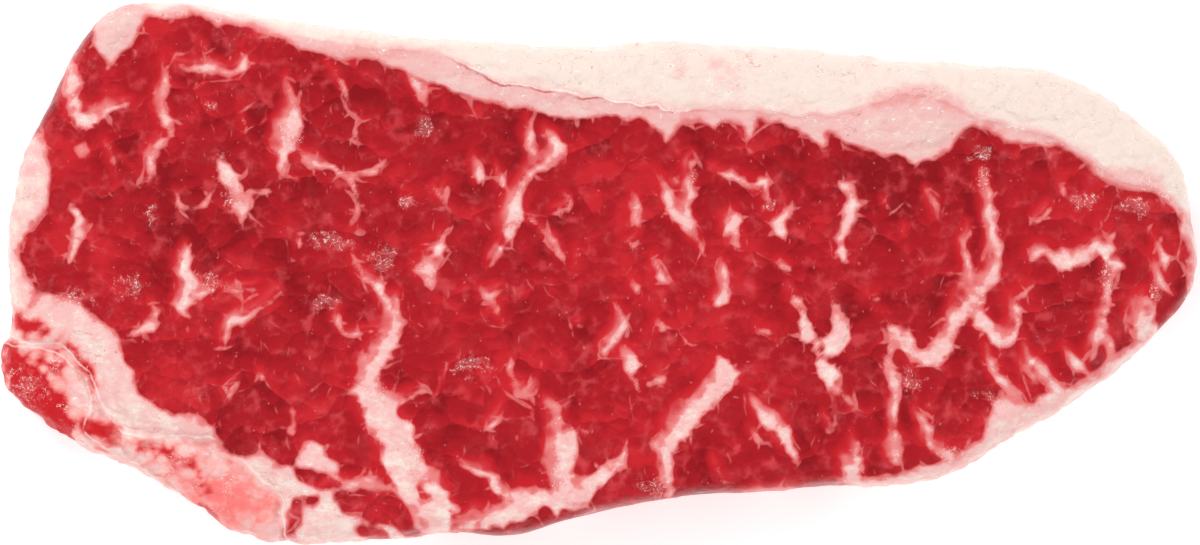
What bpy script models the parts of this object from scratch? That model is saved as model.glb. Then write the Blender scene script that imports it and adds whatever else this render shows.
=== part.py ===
"""Raw strip steak, a slice cut across the loin, as one closed solid.

The slice lies on its lower cut face. It is drawn in millimetres: x runs along the
slice from the thick end to the thin tail end, y runs across it towards the fat cap,
and z is up from the face it lies on. The mesh is made in metres.

The outline is a closed smooth curve through a few landmarks. The upper face is a
patch of evenly spread rows inside it, lifted by the reliefs of the cap, the fascia
and the rolled flap, and the wall below it is a set of rings with round shoulders.
"""
import math

import bmesh
import bpy
import numpy as np

MM = 0.001

# Overall size of the slice.
LENGTH = 220.0
WIDTH = 99.6
LEAN_THICKNESS = 24.5

# How finely the upper face and the wall are divided.
CELLS_ALONG = 80
CELLS_ACROSS = 32
SHOULDER_STEPS = 3
WALL_STEPS = 3
FOOT_STEPS = 3
SPLINE_STEPS = 24
SMOOTHING_ROUNDS = 60

# Section of the wall, from the upper face down to the face it lies on.
SHOULDER_DEPTH = 3.4
SHOULDER_INSET = 3.6
WALL_BELLY = 0.7
FOOT_RADIUS = 3.0
FOOT_INSET = 4.2

# Cut edges are never quite straight: a low ripple runs round the outline.
RIPPLES = ((17, 0.16, 0.4), (29, 0.12, 1.7), (43, 0.08, 3.1))

# Soft meat slumps unevenly: the wall draws in towards its foot by these waves.
WALL_WAVES = ((5, 0.55, 1.1), (9, 0.40, 4.2), (14, 0.28, 2.5), (23, 0.14, 0.6))

# Reliefs of the upper face.
CAP_RISE = 1.1
CAP_BANK = 2.4
CAP_SWELL = 0.5
FASCIA_DEPTH = 0.55
FASCIA_WIDTH = 1.9
ROLL_RISE = 1.3
ROLL_CENTRE = 5.5
ROLL_WIDTH = 4.2
FOLD_DEPTH = 1.7
FOLD_WIDTH = 1.8
FLAP_DROP = 3.2
FLAP_REACH = 17.0
TAIL_DROP = 2.2
TAIL_REACH = 26.0
LEAN_WAVES = (
    (0.30, 0.055, 0.020, 0.3),
    (0.24, -0.030, 0.085, 1.9),
    (0.16, 0.110, -0.060, 4.0),
    (0.10, 0.170, 0.150, 2.6),
)

# Landmarks of the outline, anticlockwise from the corner below the rolled flap.
LOWER_EDGE = (
    (-91.1, -33.6),
    (-81.0, -38.2),
    (-72.5, -44.1),
    (-67.5, -47.6),
    (-56.9, -49.8),
    (-44.9, -49.6),
    (-35.7, -49.1),
    (-26.6, -47.8),
    (-15.5, -49.1),
    (-4.5, -45.4),
    (10.2, -42.3),
    (28.6, -40.7),
    (44.0, -39.5),
    (56.1, -39.3),
    (63.5, -37.5),
    (74.5, -31.4),
)
TAIL_END = (
    (88.3, -23.0),
    (102.1, -12.1),
    (107.2, -7.0),
    (109.9, 0.7),
    (108.5, 12.3),
    (107.8, 17.3),
    (104.9, 22.8),
    (97.5, 28.5),
)
CAP_EDGE = (
    (87.8, 35.3),
    (82.8, 37.1),
    (69.9, 37.9),
    (51.5, 39.5),
    (33.2, 41.3),
    (10.2, 42.3),
    (-1.7, 41.5),
    (-17.4, 42.1),
    (-35.7, 43.6),
    (-49.5, 45.0),
    (-63.3, 47.4),
    (-72.5, 48.9),
    (-81.7, 49.8),
)
THICK_END = (
    (-88.5, 48.9),
    (-93.6, 45.0),
    (-99.1, 35.3),
    (-103.2, 26.1),
    (-106.5, 19.7),
    (-108.2, 11.4),
    (-108.3, -3.3),
    (-107.4, -9.7),
    (-109.8, -15.8),
    (-108.3, -22.1),
    (-100.3, -29.0),
)

# Where the lean ends and the fat of the cap begins, thick end to tail end.
CAP_LINE = (
    (-98.0, 52.0),
    (-89.6, 40.0),
    (-84.0, 45.0),
    (-68.6, 45.2),
    (-48.6, 39.2),
    (-29.3, 33.5),
    (-7.3, 28.7),
    (11.9, 26.0),
    (34.0, 26.0),
    (55.2, 20.8),
    (67.0, 26.0),
    (83.7, 23.2),
    (91.4, 17.3),
    (104.0, 13.5),
    (107.6, 4.0),
    (112.0, -9.0),
)

# The sheet of fascia that parts the outer fat from the inner fat.
FASCIA_LINE = (
    (-34.0, 43.0),
    (-19.2, 35.7),
    (9.3, 30.3),
    (44.2, 29.8),
    (55.2, 32.3),
    (67.2, 29.2),
    (92.0, 23.4),
    (99.0, 17.5),
)

# The crease between the body of the slice and the flap rolled under its corner.
FOLD_LINE = (
    (-114.0, -9.0),
    (-103.2, -12.9),
    (-92.7, -17.6),
    (-88.6, -26.8),
    (-80.8, -29.6),
    (-66.0, -33.6),
    (-57.5, -42.5),
    (-54.0, -54.0),
)

LEAN_COLOUR = (0.42, 0.012, 0.022, 1.0)
FAT_COLOUR = (0.88, 0.66, 0.56, 1.0)
MEAT_ROUGHNESS = 0.38


def smoothstep(low, high, value):
    """Rise smoothly from 0 at low to 1 at high."""
    part = np.clip((value - low) / (high - low), 0.0, 1.0)
    return part * part * (3.0 - 2.0 * part)


def spline(landmarks, closed):
    """Smooth curve through the landmarks, with SPLINE_STEPS points to each span."""
    points = np.array(landmarks, dtype=float)
    if closed:
        padded = np.vstack((points[-1:], points, points[:2]))
    else:
        first = 2.0 * points[0] - points[1]
        last = 2.0 * points[-1] - points[-2]
        padded = np.vstack((first, points, last))
    spans = np.linalg.norm(np.diff(padded, axis=0), axis=1)
    part = np.linspace(0.0, 1.0, SPLINE_STEPS, endpoint=False)[:, None]
    curve = []
    for index in range(1, len(padded) - 2):
        before, start, end, after = padded[index - 1:index + 3]
        lead, span, trail = spans[index - 1:index + 2]
        leave = ((start - before) / lead * span + (end - start) / span * lead) / (lead + span)
        arrive = ((end - start) / span * trail + (after - end) / trail * span) / (span + trail)
        curve.append(
            start * (2.0 * part**3 - 3.0 * part**2 + 1.0)
            + end * (3.0 * part**2 - 2.0 * part**3)
            + leave * span * (part**3 - 2.0 * part**2 + part)
            + arrive * span * (part**3 - part**2)
        )
    if not closed:
        curve.append(points[-1:])
    return np.vstack(curve)


def evenly_spread(curve, count):
    """Points at count equal steps along an open curve, without its last point."""
    lengths = np.linalg.norm(np.diff(curve, axis=0), axis=1)
    travelled = np.concatenate(([0.0], np.cumsum(lengths)))
    stations = np.linspace(0.0, travelled[-1], count, endpoint=False)
    return np.column_stack([np.interp(stations, travelled, curve[:, axis]) for axis in (0, 1)])


def outline_loop():
    """Points round the widest outline, anticlockwise, with the grid's corners on landmarks."""
    sides = (LOWER_EDGE, TAIL_END, CAP_EDGE, THICK_END)
    counts = (CELLS_ALONG, CELLS_ACROSS, CELLS_ALONG, CELLS_ACROSS)
    curve = spline([point for side in sides for point in side], closed=True)
    curve = np.vstack((curve, curve[:1]))
    stretches = []
    start = 0
    for side, count in zip(sides, counts):
        end = start + len(side) * SPLINE_STEPS
        stretches.append(evenly_spread(curve[start:end + 1], count))
        start = end
    loop = np.vstack(stretches)
    angles = np.linspace(0.0, 2.0 * math.pi, len(loop), endpoint=False)
    ripple = sum(height * np.sin(waves * angles + shift) for waves, height, shift in RIPPLES)
    loop = loop - inward_normals(loop) * ripple[:, None]
    low = loop.min(axis=0)
    high = loop.max(axis=0)
    return (loop - (low + high) / 2.0) * (np.array((LENGTH, WIDTH)) / (high - low))


def inward_normals(loop):
    """Unit directions into the outline at each of its points, evened out along it."""
    along = np.roll(loop, -1, axis=0) - np.roll(loop, 1, axis=0)
    inward = np.column_stack((-along[:, 1], along[:, 0]))
    for _ in range(4):
        inward = np.roll(inward, 1, axis=0) + 2.0 * inward + np.roll(inward, -1, axis=0)
    return inward / np.linalg.norm(inward, axis=1)[:, None]


def face_patch(rim):
    """Rows of points that fill the rim, as an array of (along + 1, across + 1, 2)."""
    corner_a = CELLS_ALONG
    corner_b = corner_a + CELLS_ACROSS
    corner_c = corner_b + CELLS_ALONG
    closed = np.vstack((rim, rim[:1]))
    lower = closed[:corner_a + 1]
    tail = closed[corner_a:corner_b + 1]
    upper = closed[corner_b:corner_c + 1][::-1]
    thick = closed[corner_c:][::-1]
    along = np.linspace(0.0, 1.0, CELLS_ALONG + 1)[:, None, None]
    across = np.linspace(0.0, 1.0, CELLS_ACROSS + 1)[None, :, None]
    ruled_across = (1.0 - across) * lower[:, None] + across * upper[:, None]
    ruled_along = (1.0 - along) * thick[None] + along * tail[None]
    corners = (
        (1.0 - along) * (1.0 - across) * lower[0]
        + along * (1.0 - across) * lower[-1]
        + (1.0 - along) * across * upper[0]
        + along * across * upper[-1]
    )
    patch = ruled_across + ruled_along - corners
    for _ in range(SMOOTHING_ROUNDS):
        patch[1:-1, 1:-1] = (
            patch[:-2, 1:-1] + patch[2:, 1:-1] + patch[1:-1, :-2] + patch[1:-1, 2:]
        ) / 4.0
    return patch


def distance_to_left(points, line):
    """Distance from each point to a line, positive on the left of its direction."""
    start = line[:-1]
    step = line[1:] - start
    offset = points[:, None] - start[None]
    part = np.clip((offset * step).sum(axis=2) / (step * step).sum(axis=1), 0.0, 1.0)
    away = offset - part[..., None] * step
    distance = np.linalg.norm(away, axis=2)
    nearest = distance.argmin(axis=1)
    row = np.arange(len(points))
    turn = step[nearest, 0] * offset[row, nearest, 1] - step[nearest, 1] * offset[row, nearest, 0]
    return distance[row, nearest] * np.sign(turn)


def upper_face_height(points):
    """Height of the upper face over each point, with all its reliefs."""
    x, y = points[:, 0], points[:, 1]
    height = np.full(len(points), LEAN_THICKNESS)
    for lift, along, across, shift in LEAN_WAVES:
        height += lift * np.sin(along * x + across * y + shift)

    cap = distance_to_left(points, spline(CAP_LINE, closed=False))
    height += CAP_RISE * smoothstep(-0.3 * CAP_BANK, CAP_BANK, cap)
    height += CAP_SWELL * np.exp(-((cap - 3.0 * CAP_BANK) / (2.0 * CAP_BANK))**2)

    fascia = distance_to_left(points, spline(FASCIA_LINE, closed=False))
    height -= FASCIA_DEPTH * np.exp(-(fascia / FASCIA_WIDTH)**2)

    fold = distance_to_left(points, spline(FOLD_LINE, closed=False))
    height += ROLL_RISE * np.exp(-((fold - ROLL_CENTRE) / ROLL_WIDTH)**2)
    height -= FOLD_DEPTH * np.exp(-(fold / FOLD_WIDTH)**2)
    height -= FLAP_DROP * smoothstep(0.0, FLAP_REACH, -fold)

    height -= TAIL_DROP * smoothstep(LENGTH / 2.0 - TAIL_REACH, LENGTH / 2.0, x)
    return height


def wall_rings(loop, rim_height):
    """Rings of points down the wall, each with its inset and height, foot ring last."""
    inward = inward_normals(loop)
    angles = np.linspace(0.0, 2.0 * math.pi, len(loop), endpoint=False)
    slump = sum(size * (1.0 + np.sin(waves * angles + shift)) for waves, size, shift in WALL_WAVES)
    all_round = np.ones(len(loop))
    rings = []
    for step in range(1, SHOULDER_STEPS + 1):
        angle = 0.5 * math.pi * step / SHOULDER_STEPS
        inset = WALL_BELLY + (SHOULDER_INSET - WALL_BELLY) * (1.0 - math.sin(angle))
        rings.append((inset * all_round, rim_height - SHOULDER_DEPTH * (1.0 - math.cos(angle))))
    for step in range(1, WALL_STEPS + 1):
        part = step / (WALL_STEPS + 1)
        inset = WALL_BELLY * (2.0 * part - 1.0)**2
        upper = rim_height - SHOULDER_DEPTH
        drawn_in = slump * smoothstep(0.5, 1.1, part)
        rings.append((inset + drawn_in, upper + part * (FOOT_RADIUS - upper)))
    for step in range(FOOT_STEPS + 1):
        angle = 0.5 * math.pi * step / FOOT_STEPS
        inset = WALL_BELLY + (FOOT_INSET - WALL_BELLY) * (1.0 - math.cos(angle))
        rings.append((inset + slump, all_round * FOOT_RADIUS * (1.0 - math.sin(angle))))
    return [np.column_stack((loop + inward * inset[:, None], height)) for inset, height in rings]


def is_fat(points):
    """Whether each point lies in the cap or in the roll and flap at the thick end."""
    cap = distance_to_left(points, spline(CAP_LINE, closed=False))
    fold = distance_to_left(points, spline(FOLD_LINE, closed=False))
    return (cap > 0.0) | (fold < ROLL_CENTRE + ROLL_WIDTH)


def build_steak():
    """Build the mesh of the slice as one closed body with outward faces."""
    loop = outline_loop()
    rim = loop + inward_normals(loop) * SHOULDER_INSET
    patch = face_patch(rim)
    rows = patch.reshape(-1, 2)
    face = np.column_stack((rows, upper_face_height(rows)))

    mesh_builder = bmesh.new()
    grid = [mesh_builder.verts.new(point * MM) for point in face]

    def at(along, across):
        return grid[along * (CELLS_ACROSS + 1) + across]

    for along in range(CELLS_ALONG):
        for across in range(CELLS_ACROSS):
            corners = (
                at(along, across),
                at(along + 1, across),
                at(along + 1, across + 1),
                at(along, across + 1),
            )
            mesh_builder.faces.new(corners)

    upper_ring = (
        [at(along, 0) for along in range(CELLS_ALONG)]
        + [at(CELLS_ALONG, across) for across in range(CELLS_ACROSS)]
        + [at(along, CELLS_ACROSS) for along in range(CELLS_ALONG, 0, -1)]
        + [at(0, across) for across in range(CELLS_ACROSS, 0, -1)]
    )
    rim_height = upper_face_height(rim)
    for ring_points in wall_rings(loop, rim_height):
        lower_ring = [mesh_builder.verts.new(point * MM) for point in ring_points]
        for index, vert in enumerate(upper_ring):
            following = (index + 1) % len(upper_ring)
            corners = (vert, lower_ring[index], lower_ring[following], upper_ring[following])
            mesh_builder.faces.new(corners)
        upper_ring = lower_ring

    centre = mesh_builder.verts.new((0.0, 0.0, 0.0))
    for index, vert in enumerate(upper_ring):
        following = upper_ring[(index + 1) % len(upper_ring)]
        mesh_builder.faces.new((vert, centre, following))

    centres = np.array([face.calc_center_median()[:2] for face in mesh_builder.faces]) / MM
    for face, fat in zip(mesh_builder.faces, is_fat(centres)):
        face.material_index = int(fat)
    bmesh.ops.recalc_face_normals(mesh_builder, faces=mesh_builder.faces)
    mesh = bpy.data.meshes.new("steak")
    mesh_builder.to_mesh(mesh)
    mesh_builder.free()
    mesh.shade_smooth()
    return mesh


def meat_material(name, colour):
    """Moist meat finish of one plain colour."""
    material = bpy.data.materials.new(name)
    material.use_nodes = True
    shader = material.node_tree.nodes["Principled BSDF"]
    shader.inputs["Base Color"].default_value = colour
    shader.inputs["Roughness"].default_value = MEAT_ROUGHNESS
    shader.inputs["Metallic"].default_value = 0.0
    material.diffuse_color = colour
    return material


def main():
    for existing in list(bpy.data.objects):
        bpy.data.objects.remove(existing, do_unlink=True)
    steak = bpy.data.objects.new("steak", build_steak())
    steak.data.materials.append(meat_material("lean", LEAN_COLOUR))
    steak.data.materials.append(meat_material("fat", FAT_COLOUR))
    bpy.context.scene.collection.objects.link(steak)


main()
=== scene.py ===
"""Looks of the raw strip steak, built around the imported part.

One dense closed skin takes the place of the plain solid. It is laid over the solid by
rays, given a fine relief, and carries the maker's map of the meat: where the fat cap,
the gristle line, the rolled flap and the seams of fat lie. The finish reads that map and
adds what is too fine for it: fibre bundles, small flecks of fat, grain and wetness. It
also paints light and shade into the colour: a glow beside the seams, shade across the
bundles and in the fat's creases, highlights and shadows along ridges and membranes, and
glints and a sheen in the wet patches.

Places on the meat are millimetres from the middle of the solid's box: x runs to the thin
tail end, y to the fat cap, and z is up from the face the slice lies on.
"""
from __future__ import annotations

import logging
import math
from dataclasses import dataclass
from enum import Enum, IntEnum

import bpy
import numpy as np
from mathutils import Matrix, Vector
from mathutils.bvhtree import BVHTree


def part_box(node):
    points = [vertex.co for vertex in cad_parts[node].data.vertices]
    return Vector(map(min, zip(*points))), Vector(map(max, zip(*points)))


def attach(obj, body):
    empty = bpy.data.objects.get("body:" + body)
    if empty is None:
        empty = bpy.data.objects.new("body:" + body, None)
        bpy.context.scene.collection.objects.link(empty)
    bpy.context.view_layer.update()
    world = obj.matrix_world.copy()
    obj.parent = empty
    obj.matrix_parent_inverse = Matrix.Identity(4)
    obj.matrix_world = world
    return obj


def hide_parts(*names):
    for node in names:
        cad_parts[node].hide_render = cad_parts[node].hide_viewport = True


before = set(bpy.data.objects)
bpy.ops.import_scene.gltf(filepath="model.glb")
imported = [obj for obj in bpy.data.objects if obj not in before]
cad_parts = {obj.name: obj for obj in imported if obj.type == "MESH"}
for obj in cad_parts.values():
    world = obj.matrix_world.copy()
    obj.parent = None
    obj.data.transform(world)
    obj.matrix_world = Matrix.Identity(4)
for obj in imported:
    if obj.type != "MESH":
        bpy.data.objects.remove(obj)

LOG = logging.getLogger("steak")

MM = 0.001
NODE = "steak"
BODY = "root"
MAP_LENGTH = 220.0

# Millimetres between a line's and a seam's points, over which a seam's end tapers, and
# how far from a seam it is still felt.
LINE_STEP = 1.2
SEAM_STEP = 0.45
TAPER_LENGTH = 1.3
SEAM_REACH = 9.0
BATCH = 4000

Route = tuple[tuple[float, ...], ...]
Spots = tuple[tuple[float, ...], ...]
Colour = tuple[float, float, float, float]
Value = "float | tuple | Signal"
Signals = "dict[str, Signal]"
Inputs = "dict[str | int, Value]"

# ---------------------------------------------------------------------------
# The map of the meat. Lines run from the thick end to the tail end.
# ---------------------------------------------------------------------------

# Lean below, fat cap above.
CAP_LINE: Route = (
    (-96, 52), (-93, 45.5), (-92, 41), (-89.5, 38), (-87.5, 39.5), (-85.5, 41.5), (-84, 45),
    (-81.5, 46.5), (-76, 46.5), (-68.5, 45), (-61, 44), (-58, 43), (-54, 40.5), (-48.5, 39),
    (-43, 39), (-36.5, 37), (-29.5, 33.5), (-24, 32), (-16.5, 30), (-12, 29.5), (-6, 28),
    (0, 28.5), (7, 28), (9.5, 27), (12, 23.2), (14.5, 26.8), (17, 27.5), (20, 27), (21, 24.5),
    (22, 27.5), (26, 26.5), (27.5, 24.5), (29, 27.5), (33, 27.5), (37, 26), (40.5, 23),
    (42, 25.5), (45, 23.5), (49, 22), (55, 20.5), (59.5, 20), (64, 22.5), (66.5, 26),
    (70, 26.5), (73.5, 24), (80, 24), (84, 23), (88.5, 20), (91.5, 17), (93.5, 16),
    (97.5, 15), (102.5, 14.5), (105, 13), (106.5, 10.5), (107.5, 6), (108.3, 1.5),
    (108.3, -2.5), (112, -6),
)

# The gristle line that parts the cap's two layers.
FASCIA_LINE: Route = (
    (-92, 51), (-86, 49.2), (-80, 47.8), (-69.5, 46.6), (-58, 43.6), (-46, 41.5), (-37, 40.4),
    (-31.5, 40), (-28, 39.3), (-25, 38), (-20, 35.5), (-15.5, 34.5), (-12, 34),
    (-7, 33), (0, 32), (5, 31), (9.5, 30.5), (14, 29.5), (18.5, 30), (25, 30), (32, 29.5),
    (39, 29), (44, 29.5), (50, 31), (55, 32.5), (60, 32), (65, 30.5), (70, 28), (74, 27),
    (79, 26), (82, 25.3), (86, 23.4), (89, 21.2), (92, 18.6), (94.5, 17.2), (97.5, 16.3),
    (102.5, 15.6), (105.7, 13.9), (107.5, 10.5), (109, 5), (113, -4),
)

# Lean to the tail side, the fat strip round the thick end to the other side.
STRIP_LINE: Route = (
    (-112, 26), (-104, 26.5), (-102, 25), (-100.5, 20.5), (-100.5, 17.5), (-101.5, 12.5),
    (-103.5, 8.5), (-105.5, 5), (-106, 2.5), (-104.5, -0.5), (-103, -5), (-106, -9),
    (-112, -10),
)

# Lean above, the rolled fat and the flap below.
ROLL_LINE: Route = (
    (-112, -8), (-108, -8.5), (-104, -6.5), (-102, -4.5), (-99, -4), (-95.5, -5),
    (-92.5, -7), (-90.5, -9.5), (-88.5, -12), (-87, -14.5), (-86, -16.5), (-85, -19),
    (-84.5, -21.5), (-81, -24), (-76, -26), (-71.5, -28), (-69.5, -30), (-67, -32.5),
    (-64, -33.5), (-62, -32.5), (-60, -34), (-58.5, -35.5), (-56.5, -35.5), (-54, -32.5),
    (-52.5, -31), (-50.5, -34), (-47, -37.5), (-40, -38), (-36, -40), (-33, -45), (-31, -53),
)

# The crease under the roll. The flap is below it.
FOLD_LINE: Route = (
    (-112, -11), (-107.5, -12), (-103.5, -13), (-99, -13), (-96.5, -15), (-93.5, -18),
    (-92, -21), (-91, -23.5), (-89.5, -27), (-88, -29), (-86.5, -29.5), (-81, -30),
    (-72.5, -29.5), (-69, -31), (-66, -33.5), (-62, -37.5), (-59.5, -40), (-58, -43),
    (-56, -52),
)

# Lean above, the narrow hem of fat along the tail's lower edge below.
HEM_LINE: Route = (
    (40, -52), (43.5, -41), (46, -37.8), (50, -37), (53, -37.2), (56, -35.5), (60, -35.3),
    (63, -34), (66, -33), (69.5, -30), (71.5, -26.5), (72.8, -23.3), (75, -22.3), (78, -23.5),
    (81, -21.8), (83.5, -21.5), (86, -20.3), (89, -18.5), (92, -17), (97, -13.6), (101, -12.3),
    (106, -12), (114, -14),
)

# The thin fold of membrane that lies on the flap, beside the crease.
INNER_LINE: Route = (
    (-112, -13), (-104, -13.5), (-100, -14.5), (-97, -16.5), (-94.5, -18.5), (-93.3, -21.5),
    (-93.5, -24.5), (-94.5, -27), (-93.5, -29.5), (-91, -31), (-87, -33), (-82, -36.5),
    (-78, -40), (-74, -45), (-72, -52),
)

# Bits of red muscle on the roll and the flap, given as the seams of fat are.
FLAP_REDS: tuple[Route, ...] = (
    ((-108, -14.5, 1.8), (-106.5, -17.5, 2.8), (-104, -21, 3.4), (-101.5, -24.5, 3.4), (-98.5, -27.5, 2.4)),
    ((-104.5, -15.5, 0.6), (-102, -16, 1.1), (-100, -18, 0.7)),
    ((-99.5, -14.5, 0.3), (-98.5, -16.5, 0.8)),
    ((-106.5, -8.5, 0.8), (-104.5, -10, 1.7), (-101.5, -10.5, 0.7)),
    ((-99, -12.5, 0.2), (-96.5, -14, 0.3), (-94, -17, 0.3), (-92.5, -20.5, 0.2)),
    ((-94.5, -27.5, 0.5), (-91, -29, 1.4), (-88.5, -30.5, 0.8)),
    ((-84, -32, 0.3), (-80.5, -32.5, 0.7), (-76.5, -34.5, 0.9), (-74, -36, 0.6), (-71.5, -40, 0.3)),
    ((-74, -43.5, 0.5), (-71.5, -45.5, 0.7)),
)

# Seams of fat: each point is x, y and half the seam's width there.
THICK_END_SEAMS: tuple[Route, ...] = (
    ((-93, 27.5, 1.3), (-91, 28.4, 1.1), (-88.5, 30, 0.8), (-84.5, 31.2, 0.4)),
    ((-79, 40, 0.2), (-79.3, 36, 0.3), (-79.5, 32, 0.6)),
    ((-90, 24, 0.2), (-89, 20.5, 0.35), (-88, 16, 0.3)),
    ((-87, 20.5, 0.15), (-84.5, 18, 0.25), (-82.5, 15.5, 0.3)),
    ((-77.5, 14.7, 0.3), (-76.2, 12.3, 0.5), (-73.4, 11.8, 0.4), (-71.2, 13.2, 0.5), (-70.1, 16.9, 0.2)),
    ((-78, 39.5, 0.2), (-75.3, 37.5, 0.4), (-70.7, 37.5, 0.6), (-67.5, 36.8, 0.4), (-65.2, 38, 0.5),
     (-64.8, 40, 0.2)),
    ((-72.5, 41.7, 0.3), (-71.2, 38.6, 0.5)),
    ((-65.3, 30.7, 0.4), (-65, 27, 0.3), (-64.8, 24, 0.15)),
    ((-57, 35.5, 0.25), (-56.5, 32.5, 0.5), (-56, 29.5, 1)),
    ((-49, 38, 0.25), (-47.5, 35, 0.45), (-46.5, 31.5, 0.3)),
    ((-45, 29.5, 0.2), (-44.5, 24.5, 0.3), (-44, 19, 0.2)),
    ((-96.8, 41, 1.2), (-96.2, 36, 1.3), (-95.4, 31, 1.5), (-94, 28, 1.9), (-92.2, 27.6, 1.3)),
    ((-80, 32, 0.5), (-79, 28, 1.1), (-78, 25, 0.7)),
    ((-78.5, 25, 0.5), (-81.5, 21.5, 0.6), (-82, 18.5, 0.9), (-82, 15.5, 0.3)),
    ((-97, 11.5, 0.7), (-95.5, 8.5, 1.1), (-96, 5, 0.5), (-96.5, 2, 0.8)),
    ((-69.5, 20, 1.6), (-68, 18, 2), (-66, 15, 1.5), (-65, 12, 1.1), (-65.5, 8.5, 0.5)),
    ((-65, 14.5, 0.8), (-62.5, 15, 0.5), (-60, 14.5, 0.3)),
    ((-75, 4.5, 0.7), (-76, 0.5, 1.2), (-75.5, -2.5, 1.1), (-76, -7, 1.1), (-74.5, -8.5, 0.4)),
    ((-74, -4.5, 0.8), (-72, -4, 0.5), (-70.5, -3, 0.3)),
    ((-81.5, -6, 0.4), (-81, -8.5, 0.9), (-83.5, -10.5, 0.4), (-86.5, -11.5, 0.3)),
    ((-69, -3.5, 0.9), (-65, -3.5, 0.4), (-61.5, -2.5, 0.3)),
    ((-58.5, -3.5, 0.6), (-63, -7, 0.4), (-67.5, -9.5, 0.7), (-68.5, -13.5, 0.7)),
    ((-65.5, -19.5, 0.4), (-67.5, -22, 0.6), (-68, -24, 0.5)),
    ((-61.5, -18.5, 0.6), (-61, -20.5, 0.4)),
    ((-56, 29, 1.4), (-57, 25, 2.4), (-57.5, 21.5, 2), (-58, 17, 0.4)),
    ((-54.5, 20.5, 0.8), (-52, 19.5, 0.7), (-48.5, 18.5, 0.6), (-45.5, 16.5, 0.7),
     (-44.5, 14, 0.5), (-44, 7, 0.3)),
    ((-45, 17, 0.4), (-41.5, 18.5, 0.4), (-39.5, 20.5, 0.3)),
    ((-55, 7, 0.3), (-55, 4.5, 0.6)),
    ((-34.5, 36, 0.9), (-32, 31.5, 0.5), (-32, 29.5, 0.3)),
)
RIVER_SEAMS: tuple[Route, ...] = (
    ((-44.5, 2.5, 0.4), (-43.5, -0.5, 0.7), (-41.5, -1.5, 1), (-39.5, -3.5, 1),
     (-37.5, -8, 1.3)),
    ((-47, -6, 0.2), (-47.5, -9.5, 0.6), (-45.5, -11.5, 0.4), (-41.5, -11, 0.3),
     (-39, -10.5, 0.4)),
    ((-36.5, -5, 1.1), (-37.5, -10, 1.5), (-39.5, -14.5, 2), (-41.5, -18, 2.3),
     (-42, -22, 2.6), (-39.5, -26.5, 3.4), (-37, -31, 3.2), (-34.5, -37.5, 3.8),
     (-31, -42, 4), (-29, -47, 3)),
    ((-36, -24, 1.2), (-33.5, -22.5, 0.6), (-31, -21.5, 0.3)),
    ((-30, -42.5, 2), (-26, -43.5, 0.9)),
    ((-39.5, -38, 0.7), (-46.5, -38.5, 0.5), (-51.5, -40, 0.4)),
    ((-25.5, -35, 0.6), (-23, -36, 0.7), (-20, -37, 0.5), (-19, -39.5, 0.7), (-15.5, -42, 0.4)),
    ((-26.5, -48, 0.8), (-22, -45.5, 1.4), (-16.5, -43.5, 2), (-12, -42, 2.2),
     (-4.5, -41, 1.8), (-1.5, -39, 1.6), (1, -37, 1.5), (4, -33.5, 0.8), (5.5, -31, 0.4)),
    ((-9.5, -23.5, 0.8), (-8, -26, 1.5), (-7, -32, 2.2), (-6.5, -36.5, 2.4), (-7, -42, 2.3)),
    ((-53, -31, 0.5), (-51.5, -33, 1.4), (-48, -35.5, 1)),
)
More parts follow.
